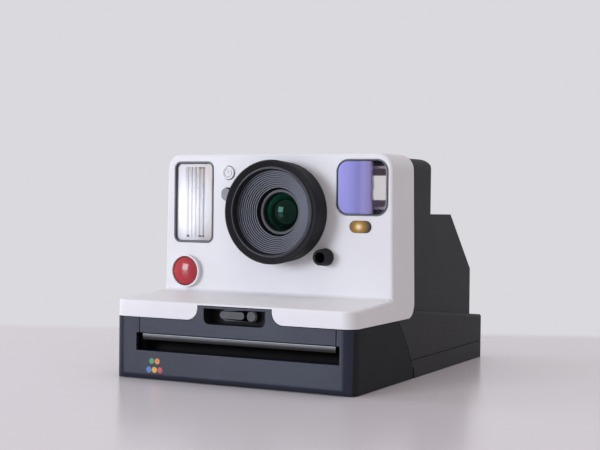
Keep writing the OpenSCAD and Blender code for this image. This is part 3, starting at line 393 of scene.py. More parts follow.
# Rounds the edges and keeps large faces flat in the light
def finishPiece(name, mesh, body, stands=(), edgeMm=0.0, sharpDeg=edges["sharpDeg"]):
    for face in mesh.polygons:
        face.use_smooth = True
    piece = bpy.data.objects.new(name, mesh)
    scene.collection.objects.link(piece)
    if edgeMm:
        edge = piece.modifiers.new("edge", "BEVEL")
        edge.width = edgeMm * mm
        edge.segments = edges["segments"]
        edge.limit_method = "ANGLE"
        edge.angle_limit = math.radians(edges["bevelDeg"])
        edge.use_clamp_overlap = True
        settle(piece)
    piece.data.set_sharp_from_angle(angle=math.radians(sharpDeg))
    even = piece.modifiers.new("even", "WEIGHTED_NORMAL")
    even.mode = "FACE_AREA"
    even.keep_sharp = True
    settle(piece)
    return hangPiece(piece, body, stands)


copying = {"mergeMm": 0.002, "flatDeg": 0.5, "nearMm": 0.01, "inkRoomMm": 0.03}


# A clean copy of a CAD node, merged and with flat faces joined. Faces behind a given depth may take a second
# finish, and the ends in X may be drawn in for a seam. The foremost plane sits a hair back, so that ink on it
# stays in the CAD box.
def dressNode(node, finish, edgeMm=0.0, behind=None, seamMm=0.0):
    work = bmesh.new()
    work.from_mesh(frame["nodes"][node].data)
    bmesh.ops.remove_doubles(work, verts=work.verts, dist=copying["mergeMm"] * mm)
    bmesh.ops.dissolve_limit(work, angle_limit=math.radians(copying["flatDeg"]), verts=work.verts, edges=work.edges)
    lo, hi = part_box(node)
    for vert in work.verts:
        if vert.co.y < cadBox[0][1] + copying["nearMm"] * mm:
            vert.co.y += copying["inkRoomMm"] * mm
        if seamMm and min(vert.co.x - lo.x, hi.x - vert.co.x) < copying["nearMm"] * mm:
            vert.co.x += math.copysign(seamMm * mm, (lo.x + hi.x) / 2 - vert.co.x)
    for face in work.faces:
        face.material_index = 1 if behind and face.calc_center_median().y > behind[1] * mm else 0
    mesh = endMesh(work, node + "_skin", [finish, behind[0]] if behind else [finish])
    return finishPiece(node + "_skin", mesh, bodyOf[node], [node], edgeMm)


# Each node's finish and edge radius in mm, then the finish behind a depth in Y and the seam
skins = {
    "front_shell": ("whiteAbs", 0.35), "shutter_collar": ("whiteAbs", 0.4), "timer_button": ("whiteAbs", 0.2),
    "rear_housing": ("blackAbs", 0.6), "bottom_cover": ("blackAbs", 0.4),
    # The door's front wears a blue-grey painted sheen; its flanks and the finger pocket of its bar take darker finishes
    # as painted shade
    "door_shell": ("doorAbs", 0.35, ("flankAbs", -73.0)), "door_bar": ("doorAbs", 0.2, ("pocketBlack", -74.3), 0.25),
    "latch_slider": ("latchBlack", 0.2), "latch_keeper": ("innerBlack", 0.2), "chassis": ("innerBlack", 0.2),
    "lens_tube": ("innerBlack", 0.2), "lens_rear_glass": ("lensGlass", 0.1), "shutter_plate": ("innerBlack", 0.1),
    "shutter_blade_a": ("innerBlack", 0.05), "shutter_blade_b": ("innerBlack", 0.05),
    "flash_frame": ("smokeGrey", 0.25), "flash_reflector": ("reflector", 0.1), "flash_tube": ("tubeGlass", 0.2),
    "flash_capacitor": ("sleeve", 0.6), "finder_frame": ("trimBlack", 0.2), "finder_tunnel": ("tunnelGrey", 0.1),
    "finder_field": ("tunnelGrey", 0.1), "finder_rear_lens": ("fieldPane", 0.2),
    "eyepiece_frame": ("trimBlack", 0.5), "eyepiece_lens": ("eyeGlass", 0.15), "meter_cell": ("cellGlass", 0.1),
    "timer_light": ("amberLens", 0.3), "mirror": ("mirrorCoat", 0.1), "main_board": ("boardLacquer", 0.05),
    "front_board": ("boardLacquer", 0.05), "battery": ("foil", 0.8), "usb_socket": ("steel", 0.1),
    "hinge_pins": ("steel", 0.2), "base_screws": ("steel", 0.1), "roller_plates": ("innerBlack", 0.3),
    "drive_motor": ("motorCan", 0.4), "exposure_switch": ("greySwitch", 0.3), "power_button": ("trimBlack", 0.4),
    "flash_button": ("trimBlack", 0.4), "drive_roller": ("rollerRubber", 0.1),
    "pressure_roller": ("rollerRubber", 0.1), "idler_gear": ("nylonGear", 0.05), "motor_pinion": ("brass", 0.05),
}
for node, look in skins.items():
    dressNode(node, *look)
print("skins", len(skins))


# Turned piece about an axis along Y; each profile row is radius, Y and the finish of the band that starts there
def turnedPiece(name, profile, centre, body, stands, steps=96):
    looks = sorted({row[2] for row in profile})
    work = bmesh.new()
    rings = []
    for radius, y, finish in profile:
        turns = [2 * math.pi * j / steps for j in range(steps if radius else 1)]
        rings.append([work.verts.new((centre[0] + radius * mm * math.cos(turn), y * mm,
                                      centre[1] + radius * mm * math.sin(turn))) for turn in turns])
    for k, (radius, y, finish) in enumerate(profile):
        here, there = rings[k], rings[(k + 1) % len(rings)]
        if len(here) == 1 and len(there) == 1:
            continue
        for j in range(steps):
            ends = [here[j % len(here)], here[(j + 1) % len(here)],
                    there[(j + 1) % len(there)], there[j % len(there)]]
            face = work.faces.new(list(dict.fromkeys(ends)))
            face.material_index = looks.index(finish)
    bmesh.ops.recalc_face_normals(work, faces=work.faces)
    return finishPiece(name, endMesh(work, name, looks), body, stands, sharpDeg=edges["turnedDeg"])


# Slab with rounded corners standing in the X-Z plane, from front Y to rear Y
def roundSlab(name, centre, size, radius, depth, finish, body, stands, edgeMm, cornerSteps=8):
    work = bmesh.new()
    outline = []
    for corner, (sx, sz) in enumerate(((1, 1), (-1, 1), (-1, -1), (1, -1))):
        for step in range(cornerSteps + 1):
            angle = math.radians(90 * (corner + step / cornerSteps))
            outline.append((centre[0] + (sx * (size[0] / 2 - radius) + radius * math.cos(angle)) * mm,
                            centre[1] + (sz * (size[1] / 2 - radius) + radius * math.sin(angle)) * mm))
    front = [work.verts.new((x, depth[0] * mm, z)) for x, z in outline]
    rear = [work.verts.new((x, depth[1] * mm, z)) for x, z in outline]
    work.faces.new(front)
    work.faces.new(rear)
    for j in range(len(outline)):
        work.faces.new((front[j], front[(j + 1) % len(front)], rear[(j + 1) % len(rear)], rear[j]))
    bmesh.ops.recalc_face_normals(work, faces=work.faces)
    return finishPiece(name, endMesh(work, name, [finish]), body, stands, edgeMm)


def midOf(node):
    lo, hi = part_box(node)
    return ((lo.x + hi.x) / 2, (lo.z + hi.z) / 2)


def sizeOf(node):
    lo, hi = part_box(node)
    return ((hi.x - lo.x) / mm, (hi.z - lo.z) / mm)


# Profile rows of a domed cap, from its apex to its rim
def capRows(cap, finish):
    radii = [cap["radius"] * k / cap["bands"] for k in range(cap["bands"] + 1)]
    return [(r, cap["apex"] + cap["curve"] - math.sqrt(cap["curve"] ** 2 - r ** 2), finish) for r in radii]


# Lens ring: the rim slopes in to a V groove, a ridge rises from it, then the cone goes down to a black well; the
# groove, the back of the ridge, the cone and the well are darkened as painted shade, the ridge and its chamfer are
# lighter as painted sheen and highlight
ring = {"out": 11.0, "rim": 22.0, "back": 21.4, "groove": 19.3, "ridge": 18.5, "mouth": 18.0, "coneTop": 17.6,
        "well": 10.3, "ledge": 7.8, "wellEdge": 2.9, "tail": 4.4, "tailRadius": 20.0, "steps": 128,
        "rimRound": [(0.0, 0.9, "lensBlack"), (0.1, 0.4, "lensBlack"), (0.4, 0.1, "lensBlack"), (0.8, 0.0, "rimBlack")],
        "grooveWide": 0.15, "grooveDeep": (0.9, 1.0), "ridgeWide": 0.2, "ridgeDeep": (0.25, 0.2),
        "mouthDeep": 0.5, "mouthTaper": 0.1}
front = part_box("lens_barrel")[0].y / mm
faceY = front + ring["out"]
ledgeY, wellY, tailY = faceY - ring["ledge"], faceY - ring["wellEdge"], faceY + ring["tail"]
lensAt = midOf("lens_barrel")
rimRows = [(ring["rim"] - inset, front + deep, finish) for inset, deep, finish in ring["rimRound"]]
turnedPiece("lens_ring", [(ring["back"], faceY, "lensBlack")] + rimRows + [
    (ring["groove"], front + ring["grooveDeep"][0], "innerBlack"),
    (ring["groove"] - ring["grooveWide"], front + ring["grooveDeep"][1], "chamferGrey"),
    (ring["ridge"], front + ring["ridgeDeep"][0], "coneBlack"),
    (ring["ridge"] - ring["ridgeWide"], front + ring["ridgeDeep"][1], "innerBlack"),
    (ring["mouth"], front + ring["mouthDeep"], "innerBlack"),
    (ring["mouth"] - ring["mouthTaper"], ledgeY, "innerBlack"), (ring["coneTop"], ledgeY, "innerBlack"),
    (ring["well"], wellY, "innerBlack"), (ring["well"], tailY, "lensBlack"),
    (ring["tailRadius"], tailY, "lensBlack"), (ring["tailRadius"], faceY, "lensBlack")],
    lensAt, "camera", ["lens_barrel"], ring["steps"])

# Bezel ring: a flat crest between two slopes, a seat for the glass behind it and a flange at the rear
bezel = {"inner": 8.2, "crest": (8.55, 9.5), "outer": 9.9, "flange": 11.6, "seat": 7.7,
         "slopeY": -0.9, "crestY": -1.3, "seatY": 2.2, "flangeY": 5.0, "rearY": 6.0}
slopeY, crestY, seatY = (faceY + bezel[key] for key in ("slopeY", "crestY", "seatY"))
flangeY, rearY = faceY + bezel["flangeY"], faceY + bezel["rearY"]
# Its outer slope, flange and seat are darkened as painted shade of the well round the glass
turnedPiece("lens_bezel_ring", [
    (bezel["inner"], slopeY, "bezelGrey"), (bezel["crest"][0], crestY, "bezelGrey"),
    (bezel["crest"][1], crestY, "bezelGrey"), (bezel["outer"], slopeY, "innerBlack"),
    (bezel["outer"], flangeY, "innerBlack"), (bezel["flange"], flangeY, "innerBlack"),
    (bezel["flange"], rearY, "innerBlack"), (bezel["seat"], rearY, "innerBlack"),
    (bezel["seat"], seatY, "innerBlack"), (bezel["inner"], seatY, "innerBlack")],
    lensAt, "camera", ["lens_bezel"])

# Front glass: a shallow dome just inside the bezel ring
glass = {"radius": 8.15, "curve": 12.0, "apex": faceY - 1.15, "rear": faceY + 2.15, "bands": 16}
turnedPiece("lens_glass_dome", capRows(glass, "lensGlass") + [
    (glass["radius"], glass["rear"], "lensGlass"), (0, glass["rear"], "lensGlass")],
    lensAt, "camera", ["lens_front_glass"])

# Meter hood: a tapered tube with a fine edge round a black bore, darkened as painted shade
hood = {"foot": 3.75, "tip": 3.3, "edge": (3.0, 2.65), "bore": (2.4, 2.35), "stem": 3.25,
        "tipOut": 5.6, "out": 6.0, "boreOut": 5.8, "floorOut": 0.6, "tail": 2.8, "steps": 64}
turnedPiece("meter_hood_tube", [
    (hood["foot"], faceY, "lensBlack"), (hood["tip"], faceY - hood["tipOut"], "lensBlack"),
    (hood["edge"][0], faceY - hood["out"], "lensBlack"), (hood["edge"][1], faceY - hood["out"], "bezelGrey"),
    (hood["bore"][0], faceY - hood["boreOut"], "innerBlack"),
    (hood["bore"][1], faceY - hood["floorOut"], "innerBlack"), (0, faceY - hood["floorOut"], "innerBlack"),
    (0, faceY + hood["tail"], "innerBlack"),
    (hood["stem"], faceY + hood["tail"], "innerBlack"), (hood["stem"], faceY, "innerBlack")],
    midOf("meter_hood"), "camera", ["meter_hood"], hood["steps"])

# Shutter button: a domed cap just below the rim of its collar
button = {"radius": 5.9, "side": 6.2, "curve": 14.0, "apex": faceY - 3.2, "bands": 12, "steps": 72,
          "shoulder": [(0.1, 0.15), (0.0, 0.4)], "rear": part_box("shutter_button")[1].y / mm}
cap = capRows(button, "redKey")
shoulder = [(button["side"] - inset, cap[-1][1] + deep, "redKey") for inset, deep in button["shoulder"]]
turnedPiece("shutter_button_cap", cap + shoulder + [
    (button["side"], button["rear"], "redKey"), (0, button["rear"], "redKey")],
    midOf("shutter_button"), "shutter_key", ["shutter_button"], button["steps"])

# Finder glass flush in its frame
pane = {"corner": 4.5, "depth": (faceY - 0.15, faceY + 0.9), "edge": 0.3}
roundSlab("finder_pane", midOf("finder_lens"), sizeOf("finder_lens"), pane["corner"], pane["depth"], "finderGlassReflection",
          "camera", ["finder_lens"], pane["edge"])

# Flash window set back in its frame, with three small clips that hold it; a clip is dx, dz, width and height
window = {"corner": 2.15, "front": faceY + 1.0, "thick": 1.2, "edge": 0.2}
flashAt, flashSize, flashY = midOf("flash_lens"), sizeOf("flash_lens"), window["front"]
roundSlab("flash_window", flashAt, flashSize, window["corner"], (flashY, flashY + window["thick"]), "flashGlareClear",
          "camera", ["flash_lens"], window["edge"])
clips = {"low_left": (-3.4, -15.0, 1.3, 0.8), "low_right": (3.3, -15.0, 3.0, 0.7), "top": (3.3, 15.1, 3.0, 0.6)}
clip = {"corner": 0.25, "depth": (flashY - 0.42, flashY + 0.3), "edge": 0.08}
for name, (dx, dz, wide, tall) in clips.items():
    roundSlab("flash_clip_" + name, (flashAt[0] + dx * mm, flashAt[1] + dz * mm), (wide, tall), clip["corner"],
              clip["depth"], "smokeGrey", "camera", (), clip["edge"])

# Thumb pad on the latch, measured from the slider's right end and front
latchLo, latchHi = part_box("latch_slider")
pad = {"fromEnd": 11.6, "size": (11.5, 3.2), "corner": 1.55, "depth": (0.25, 1.3), "edge": 0.2}
roundSlab("latch_thumb_pad", (latchHi.x - pad["fromEnd"] * mm, midOf("latch_slider")[1]), pad["size"], pad["corner"],
          [latchLo.y / mm + y for y in pad["depth"]], "latchBlack", "latch", (), pad["edge"])

# Film shield: a thin sheet that hangs behind the bar, swells forward under it and curls back into the slot
shield = {"thickMm": 0.2, "columns": 24, "top": [(-72.18, 22.6), (-72.18, 19.8), (-72.55, 19.47), (-73.0, 19.38)],
          "curlMm": 5.0, "front": -73.5, "level": 18.35, "fromDeg": 9, "toDeg": -23, "steps": 12,
          "tail": [(-72.6, 16.32), (-71.8, 16.28), (-70.6, 16.4)]}
edgeLine = list(shield["top"])
for k in range(shield["steps"] + 1):
    angle = math.radians(shield["fromDeg"] + (shield["toDeg"] - shield["fromDeg"]) * k / shield["steps"])
    edgeLine.append((shield["front"] + shield["curlMm"] * (1 - math.cos(angle)),
                     shield["level"] + shield["curlMm"] * math.sin(angle)))
edgeLine += shield["tail"]
shieldLo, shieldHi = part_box("film_shield")
work = bmesh.new()
columns = []
for k in range(shield["columns"] + 1):
    x = shieldLo.x + (shieldHi.x - shieldLo.x) * k / shield["columns"]
    columns.append([work.verts.new((x, y * mm, z * mm)) for y, z in edgeLine])
for here, there in zip(columns, columns[1:]):
    for j in range(len(edgeLine) - 1):
        work.faces.new((here[j], here[j + 1], there[j + 1], there[j]))
bmesh.ops.recalc_face_normals(work, faces=work.faces)
bmesh.ops.solidify(work, geom=work.faces[:], thickness=shield["thickMm"] * mm)
bmesh.ops.recalc_face_normals(work, faces=work.faces)
finishPiece("film_shield_sheet", endMesh(work, "film_shield_sheet", ["shieldFilm"]), "door",
            ["film_shield"], sharpDeg=edges["sheetDeg"])
print("turned and moulded pieces made")


# A node tree for repeated pieces: named inputs, then the shapes, then Realize Instances and Set Material
def newTree(name, sizes):
    tree = bpy.data.node_groups.new(name, "GeometryNodeTree")
    for label, kind in sizes.items():
        tree.interface.new_socket(label, in_out="INPUT", socket_type=kind)
    tree.interface.new_socket("Geometry", in_out="OUTPUT", socket_type="NodeSocketGeometry")
    return tree, addNode(tree, "NodeGroupInput")


def closeTree(tree, socket, finish):
    real = addNode(tree, "GeometryNodeRealizeInstances", links={"Geometry": socket})
    skin = addNode(tree, "GeometryNodeSetMaterial", inputs={"Material": finish},
                   links={"Geometry": real.outputs["Geometry"]})
    addNode(tree, "NodeGroupOutput", links={"Geometry": skin.outputs["Geometry"]})


def treePiece(name, tree, values, body, stands=()):
    piece = bpy.data.objects.new(name, bpy.data.meshes.new(name))
    scene.collection.objects.link(piece)
    grow = piece.modifiers.new("grow", "NODES")
    grow.node_group = tree
    for item in tree.interface.items_tree:
        if item.in_out == "INPUT" and item.name in values:
            grow[item.identifier] = values[item.name]
    settle(piece)
    for face in piece.data.polygons:
        face.use_smooth = True
    piece.data.set_sharp_from_angle(angle=math.radians(edges["repeatedDeg"]))
    return hangPiece(piece, body, stands)


# Pad-printed ink in five colours: thin and dry, slightly mottled in its sheen, no gloss
inkLook = {"stops": [(0.0, "#5b7fc4"), (0.2, "#4f9a72"), (0.4, "#d9b14a"), (0.6, "#d98a52"), (0.8, "#c4525c")],
           "mottleMm": 0.5, "smooth": 0.45, "rough": 0.65, "ior": 1.48}
ink, inkTree = newMaterial("five_colour_pad_printed_ink")
tone = addNode(inkTree, "ShaderNodeAttribute", {"attribute_name": "inkTone"})
inkPlace = addNode(inkTree, "ShaderNodeTexCoord")
mottle = addNode(inkTree, "ShaderNodeTexNoise", inputs={"Scale": 1 / (inkLook["mottleMm"] * mm), "Detail": 2},
                 links={"Vector": inkPlace.outputs["Object"]})
inkRamp = addNode(inkTree, "ShaderNodeValToRGB", links={"Fac": tone.outputs["Fac"]})
inkRamp.color_ramp.interpolation = "CONSTANT"
setStops(inkRamp.color_ramp, inkLook["stops"])
inkRough = addNode(inkTree, "ShaderNodeMapRange", inputs={"To Min": inkLook["smooth"], "To Max": inkLook["rough"]},
                   links={"Value": mottle.outputs["Fac"]})
inkShader = addNode(inkTree, "ShaderNodeBsdfPrincipled", inputs={"IOR": inkLook["ior"]},
                    links={"Base Color": inkRamp.outputs["Color"], "Roughness": inkRough.outputs["Result"]})
finishMaterial(inkTree, inkShader)

# Five dots in two staggered rows on the door's front, in mm
dots = {"count": 5, "first": (-37.9, 4.3), "stepX": 1.35, "rise": 3.6, "radius": 1.25,
        "proud": copying["inkRoomMm"]}
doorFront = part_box("door_shell")[0].y
tree, given = newTree("dotRows", {"Count": "NodeSocketInt", "Step": "NodeSocketFloat", "Rise": "NodeSocketFloat",
                                  "Radius": "NodeSocketFloat", "Proud": "NodeSocketFloat",
                                  "Start": "NodeSocketVector"})
order = addNode(tree, "GeometryNodeInputIndex")
sideways = addNode(tree, "ShaderNodeMath", {"operation": "MULTIPLY"},
                   links={0: order.outputs["Index"], 1: given.outputs["Step"]})
odd = addNode(tree, "ShaderNodeMath", {"operation": "MODULO"}, {1: 2.0}, {0: order.outputs["Index"]})
upward = addNode(tree, "ShaderNodeMath", {"operation": "MULTIPLY"},
                 links={0: odd.outputs[0], 1: given.outputs["Rise"]})
spot = addNode(tree, "ShaderNodeCombineXYZ", links={"X": sideways.outputs[0], "Z": upward.outputs[0]})
spread = addNode(tree, "ShaderNodeVectorMath", {"operation": "ADD"},
                 links={0: spot.outputs[0], 1: given.outputs["Start"]})
points = addNode(tree, "GeometryNodePoints", links={"Count": given.outputs["Count"], "Position": spread.outputs[0]})
share = addNode(tree, "ShaderNodeMath", {"operation": "MULTIPLY_ADD"},
                {1: 1 / dots["count"], 2: 0.5 / dots["count"]}, {0: order.outputs["Index"]})
toned = addNode(tree, "GeometryNodeStoreNamedAttribute", {"data_type": "FLOAT", "domain": "POINT"},
                {"Name": "inkTone"}, {"Geometry": points.outputs[0], "Value": share.outputs[0]})
drop = addNode(tree, "GeometryNodeMeshUVSphere", inputs={"Segments": 28, "Rings": 10},
               links={"Radius": given.outputs["Radius"]})
flatter = addNode(tree, "ShaderNodeMath", {"operation": "DIVIDE"},
                  links={0: given.outputs["Proud"], 1: given.outputs["Radius"]})
pressed = addNode(tree, "ShaderNodeCombineXYZ", inputs={"X": 1.0, "Z": 1.0}, links={"Y": flatter.outputs[0]})
flatDrop = addNode(tree, "GeometryNodeTransform",
                   links={"Geometry": drop.outputs["Mesh"], "Scale": pressed.outputs[0]})
laid = addNode(tree, "GeometryNodeInstanceOnPoints",
               links={"Points": toned.outputs[0], "Instance": flatDrop.outputs[0]})
closeTree(tree, laid.outputs[0], ink)
treePiece("colour_dots", tree, {
    "Count": dots["count"], "Step": dots["stepX"] * mm, "Rise": dots["rise"] * mm, "Radius": dots["radius"] * mm,
    "Proud": dots["proud"] * mm,
    "Start": (dots["first"][0] * mm, doorFront + dots["proud"] * mm, dots["first"][1] * mm)}, "door")

# Prisms of the flash window: upright rods side by side, and fine level lines in the upper half of the middle band, in
# the window's finish with its painted glare
tree, given = newTree("rodField", {"Count": "NodeSocketInt", "Radius": "NodeSocketFloat",
                                   "Length": "NodeSocketFloat", "Start": "NodeSocketVector",
                                   "Step": "NodeSocketVector", "Turn": "NodeSocketVector"})
row = addNode(tree, "GeometryNodeMeshLine", {"mode": "OFFSET"},
              links={"Count": given.outputs["Count"], "Start Location": given.outputs["Start"],
                     "Offset": given.outputs["Step"]})
rod = addNode(tree, "GeometryNodeMeshCylinder", inputs={"Vertices": 16},
              links={"Radius": given.outputs["Radius"], "Depth": given.outputs["Length"]})
turned = addNode(tree, "FunctionNodeEulerToRotation", links={"Euler": given.outputs["Turn"]})
rods = addNode(tree, "GeometryNodeInstanceOnPoints",
               links={"Points": row.outputs["Mesh"], "Instance": rod.outputs["Mesh"], "Rotation": turned.outputs[0]})
closeTree(tree, rods.outputs[0], finishes["flashGlareClear"])
prisms = {"count": 5, "pitchMm": 2.0, "radiusMm": 1.05, "sunkMm": 0.62, "shortMm": 3.0}
levels = {"count": 9, "pitchMm": 1.6, "radiusMm": 0.12, "proudMm": 0.36, "fromMm": 1.5}
prismsWide = prisms["count"] * prisms["pitchMm"]
treePiece("flash_prisms", tree, {
    "Count": prisms["count"], "Radius": prisms["radiusMm"] * mm, "Length": (flashSize[1] - prisms["shortMm"]) * mm,
    "Start": (flashAt[0] - (prismsWide - prisms["pitchMm"]) / 2 * mm, (flashY + prisms["sunkMm"]) * mm, flashAt[1]),
    "Step": (prisms["pitchMm"] * mm, 0, 0), "Turn": (0, 0, 0)}, "camera")
treePiece("flash_lines", tree, {
    "Count": levels["count"], "Radius": levels["radiusMm"] * mm, "Length": prismsWide * mm,
    "Start": (flashAt[0], (flashY - levels["proudMm"]) * mm, flashAt[1] + levels["fromMm"] * mm),
    "Step": (0, 0, levels["pitchMm"] * mm), "Turn": (0, math.radians(90), 0)}, "camera")

# Fine steps of the lens cone: square hoops that shrink evenly from its mouth to the well, coloured grey as painted
# sheen against the dark painted shade of the cone between them
tree, given = newTree("coneSteps", {"Count": "NodeSocketInt", "Tread": "NodeSocketFloat",
                                    "FirstRadius": "NodeSocketFloat", "RadiusStep": "NodeSocketFloat",
                                    "DepthStep": "NodeSocketFloat", "Start": "NodeSocketVector"})
order = addNode(tree, "GeometryNodeInputIndex")
inward = addNode(tree, "ShaderNodeMath", {"operation": "MULTIPLY"},
                 links={0: order.outputs["Index"], 1: given.outputs["DepthStep"]})
along = addNode(tree, "ShaderNodeCombineXYZ", links={"Y": inward.outputs[0]})
spread = addNode(tree, "ShaderNodeVectorMath", {"operation": "ADD"},
                 links={0: along.outputs[0], 1: given.outputs["Start"]})
points = addNode(tree, "GeometryNodePoints", links={"Count": given.outputs["Count"], "Position": spread.outputs[0]})
width = addNode(tree, "ShaderNodeMath", {"operation": "MULTIPLY_ADD"},
                links={0: order.outputs["Index"], 1: given.outputs["RadiusStep"], 2: given.outputs["FirstRadius"]})
hoop = addNode(tree, "GeometryNodeCurvePrimitiveCircle", {"mode": "RADIUS"}, {"Resolution": 96, "Radius": 1.0})
upright = addNode(tree, "GeometryNodeTransform", inputs={"Rotation": (math.radians(90), 0, 0)},
                  links={"Geometry": hoop.outputs["Curve"]})
hoops = addNode(tree, "GeometryNodeInstanceOnPoints",
                links={"Points": points.outputs[0], "Instance": upright.outputs[0], "Scale": width.outputs[0]})
real = addNode(tree, "GeometryNodeRealizeInstances", links={"Geometry": hoops.outputs[0]})
tread = addNode(tree, "GeometryNodeCurvePrimitiveQuadrilateral",
                links={"Width": given.outputs["Tread"], "Height": given.outputs["Tread"]})
treads = addNode(tree, "GeometryNodeCurveToMesh",
                 links={"Curve": real.outputs[0], "Profile Curve": tread.outputs["Curve"]})
closeTree(tree, treads.outputs[0], finishes["coneBlack"])
steps = {"count": 10, "treadMm": 0.4, "proudMm": 0.02}
radiusStep = -(ring["coneTop"] - ring["well"]) / steps["count"]
depthStep = (ring["ledge"] - ring["wellEdge"]) / steps["count"]
treePiece("lens_cone_steps", tree, {
    "Count": steps["count"], "Tread": steps["treadMm"] * mm, "FirstRadius": (ring["coneTop"] + radiusStep / 2) * mm,
    "RadiusStep": radiusStep * mm, "DepthStep": depthStep * mm,
    "Start": (lensAt[0], (faceY - ring["ledge"] + depthStep / 2 - steps["proudMm"]) * mm, lensAt[1])},
    "camera")

# Counter lights: eight low domes in one row on the top
lights = {"count": 8, "domeShare": 0.3}
lightLo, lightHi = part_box("counter_lights")
tree, given = newTree("lightRow", {"Count": "NodeSocketInt", "Radius": "NodeSocketFloat", "Height": "NodeSocketFloat",
                                   "Start": "NodeSocketVector", "Step": "NodeSocketVector"})
row = addNode(tree, "GeometryNodeMeshLine", {"mode": "OFFSET"},
              links={"Count": given.outputs["Count"], "Start Location": given.outputs["Start"],
                     "Offset": given.outputs["Step"]})
stem = addNode(tree, "GeometryNodeMeshCylinder", inputs={"Vertices": 24},
               links={"Radius": given.outputs["Radius"], "Depth": given.outputs["Height"]})
dome = addNode(tree, "GeometryNodeMeshUVSphere", inputs={"Segments": 24, "Rings": 12},
               links={"Radius": given.outputs["Radius"]})
low = addNode(tree, "GeometryNodeTransform", inputs={"Scale": (1, 1, lights["domeShare"])},
              links={"Geometry": dome.outputs["Mesh"]})
half = addNode(tree, "ShaderNodeMath", {"operation": "MULTIPLY"}, {1: 0.5}, {0: given.outputs["Height"]})
lift = addNode(tree, "ShaderNodeCombineXYZ", links={"Z": half.outputs[0]})
raised = addNode(tree, "GeometryNodeTransform", links={"Geometry": low.outputs[0], "Translation": lift.outputs[0]})
bulb = addNode(tree, "GeometryNodeJoinGeometry")
for part in (stem.outputs["Mesh"], raised.outputs[0]):
    tree.links.new(part, bulb.inputs[0])
bulbs = addNode(tree, "GeometryNodeInstanceOnPoints",
                links={"Points": row.outputs["Mesh"], "Instance": bulb.outputs[0]})
closeTree(tree, bulbs.outputs[0], finishes["countLens"])
lightRadius = (lightHi.y - lightLo.y) / 2
lightTall = lightHi.z - lightLo.z - lightRadius * lights["domeShare"]
treePiece("counter_lights_row", tree, {
    "Count": lights["count"], "Radius": lightRadius, "Height": lightTall,
    "Start": (lightLo.x + lightRadius, (lightLo.y + lightHi.y) / 2, lightLo.z + lightTall / 2),
    "Step": ((lightHi.x - lightLo.x - 2 * lightRadius) / (lights["count"] - 1), 0, 0)},
    "camera", ["counter_lights"])

# Clock mark on the timer button: an open ring and two hands
timerLo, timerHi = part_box("timer_button")
timerMid = (timerLo + timerHi) / 2
clock = {"ringMm": 1.8, "lineMm": 0.14, "fromDeg": 100, "openDeg": 300, "handsMm": (1.1, 0.6), "deepMm": 0.27}
tree, given = newTree("clockMark", {"Ring": "NodeSocketFloat", "Line": "NodeSocketFloat", "Sweep": "NodeSocketFloat",
                                    "LongHand": "NodeSocketFloat", "ShortHand": "NodeSocketFloat",
                                    "Place": "NodeSocketVector"})
arc = addNode(tree, "GeometryNodeCurveArc", {"mode": "RADIUS"},
              {"Resolution": 48, "Start Angle": math.radians(clock["fromDeg"])},
              {"Radius": given.outputs["Ring"], "Sweep Angle": given.outputs["Sweep"]})
longTip = addNode(tree, "ShaderNodeCombineXYZ", links={"Y": given.outputs["LongHand"]})
longHand = addNode(tree, "GeometryNodeCurvePrimitiveLine", links={"End": longTip.outputs[0]})
shortTip = addNode(tree, "ShaderNodeCombineXYZ", links={"X": given.outputs["ShortHand"]})
shortHand = addNode(tree, "GeometryNodeCurvePrimitiveLine", links={"End": shortTip.outputs[0]})
strokes = addNode(tree, "GeometryNodeJoinGeometry")
for part in (arc.outputs["Curve"], longHand.outputs[0], shortHand.outputs[0]):
    tree.links.new(part, strokes.inputs[0])
nib = addNode(tree, "GeometryNodeCurvePrimitiveCircle", {"mode": "RADIUS"}, {"Resolution": 10},
              {"Radius": given.outputs["Line"]})
lines = addNode(tree, "GeometryNodeCurveToMesh", inputs={"Fill Caps": True},
                links={"Curve": strokes.outputs[0], "Profile Curve": nib.outputs["Curve"]})
stand = addNode(tree, "GeometryNodeTransform", inputs={"Rotation": (math.radians(90), 0, 0)},
                links={"Geometry": lines.outputs[0], "Translation": given.outputs["Place"]})
closeTree(tree, stand.outputs[0], finishes["markInk"])
treePiece("timer_clock_mark", tree, {
    "Ring": clock["ringMm"] * mm, "Line": clock["lineMm"] * mm, "Sweep": math.radians(clock["openDeg"]),
    "LongHand": clock["handsMm"][0] * mm, "ShortHand": clock["handsMm"][1] * mm,
    "Place": (timerMid.x, timerLo.y + clock["deepMm"] * mm, timerMid.z)}, "timer_key")
print("repeated pieces made")


# 1 for rays from the camera and for those seen in a reflection or through a clear piece
def shownRays(tree):
    path = addNode(tree, "ShaderNodeLightPath")
    seen = addNode(tree, "ShaderNodeMath", {"operation": "MAXIMUM"},
                   links={0: path.outputs["Is Camera Ray"], 1: path.outputs["Is Glossy Ray"]})
    return addNode(tree, "ShaderNodeMath", {"operation": "MAXIMUM"},
                   links={0: seen.outputs[0], 1: path.outputs["Is Transmission Ray"]})


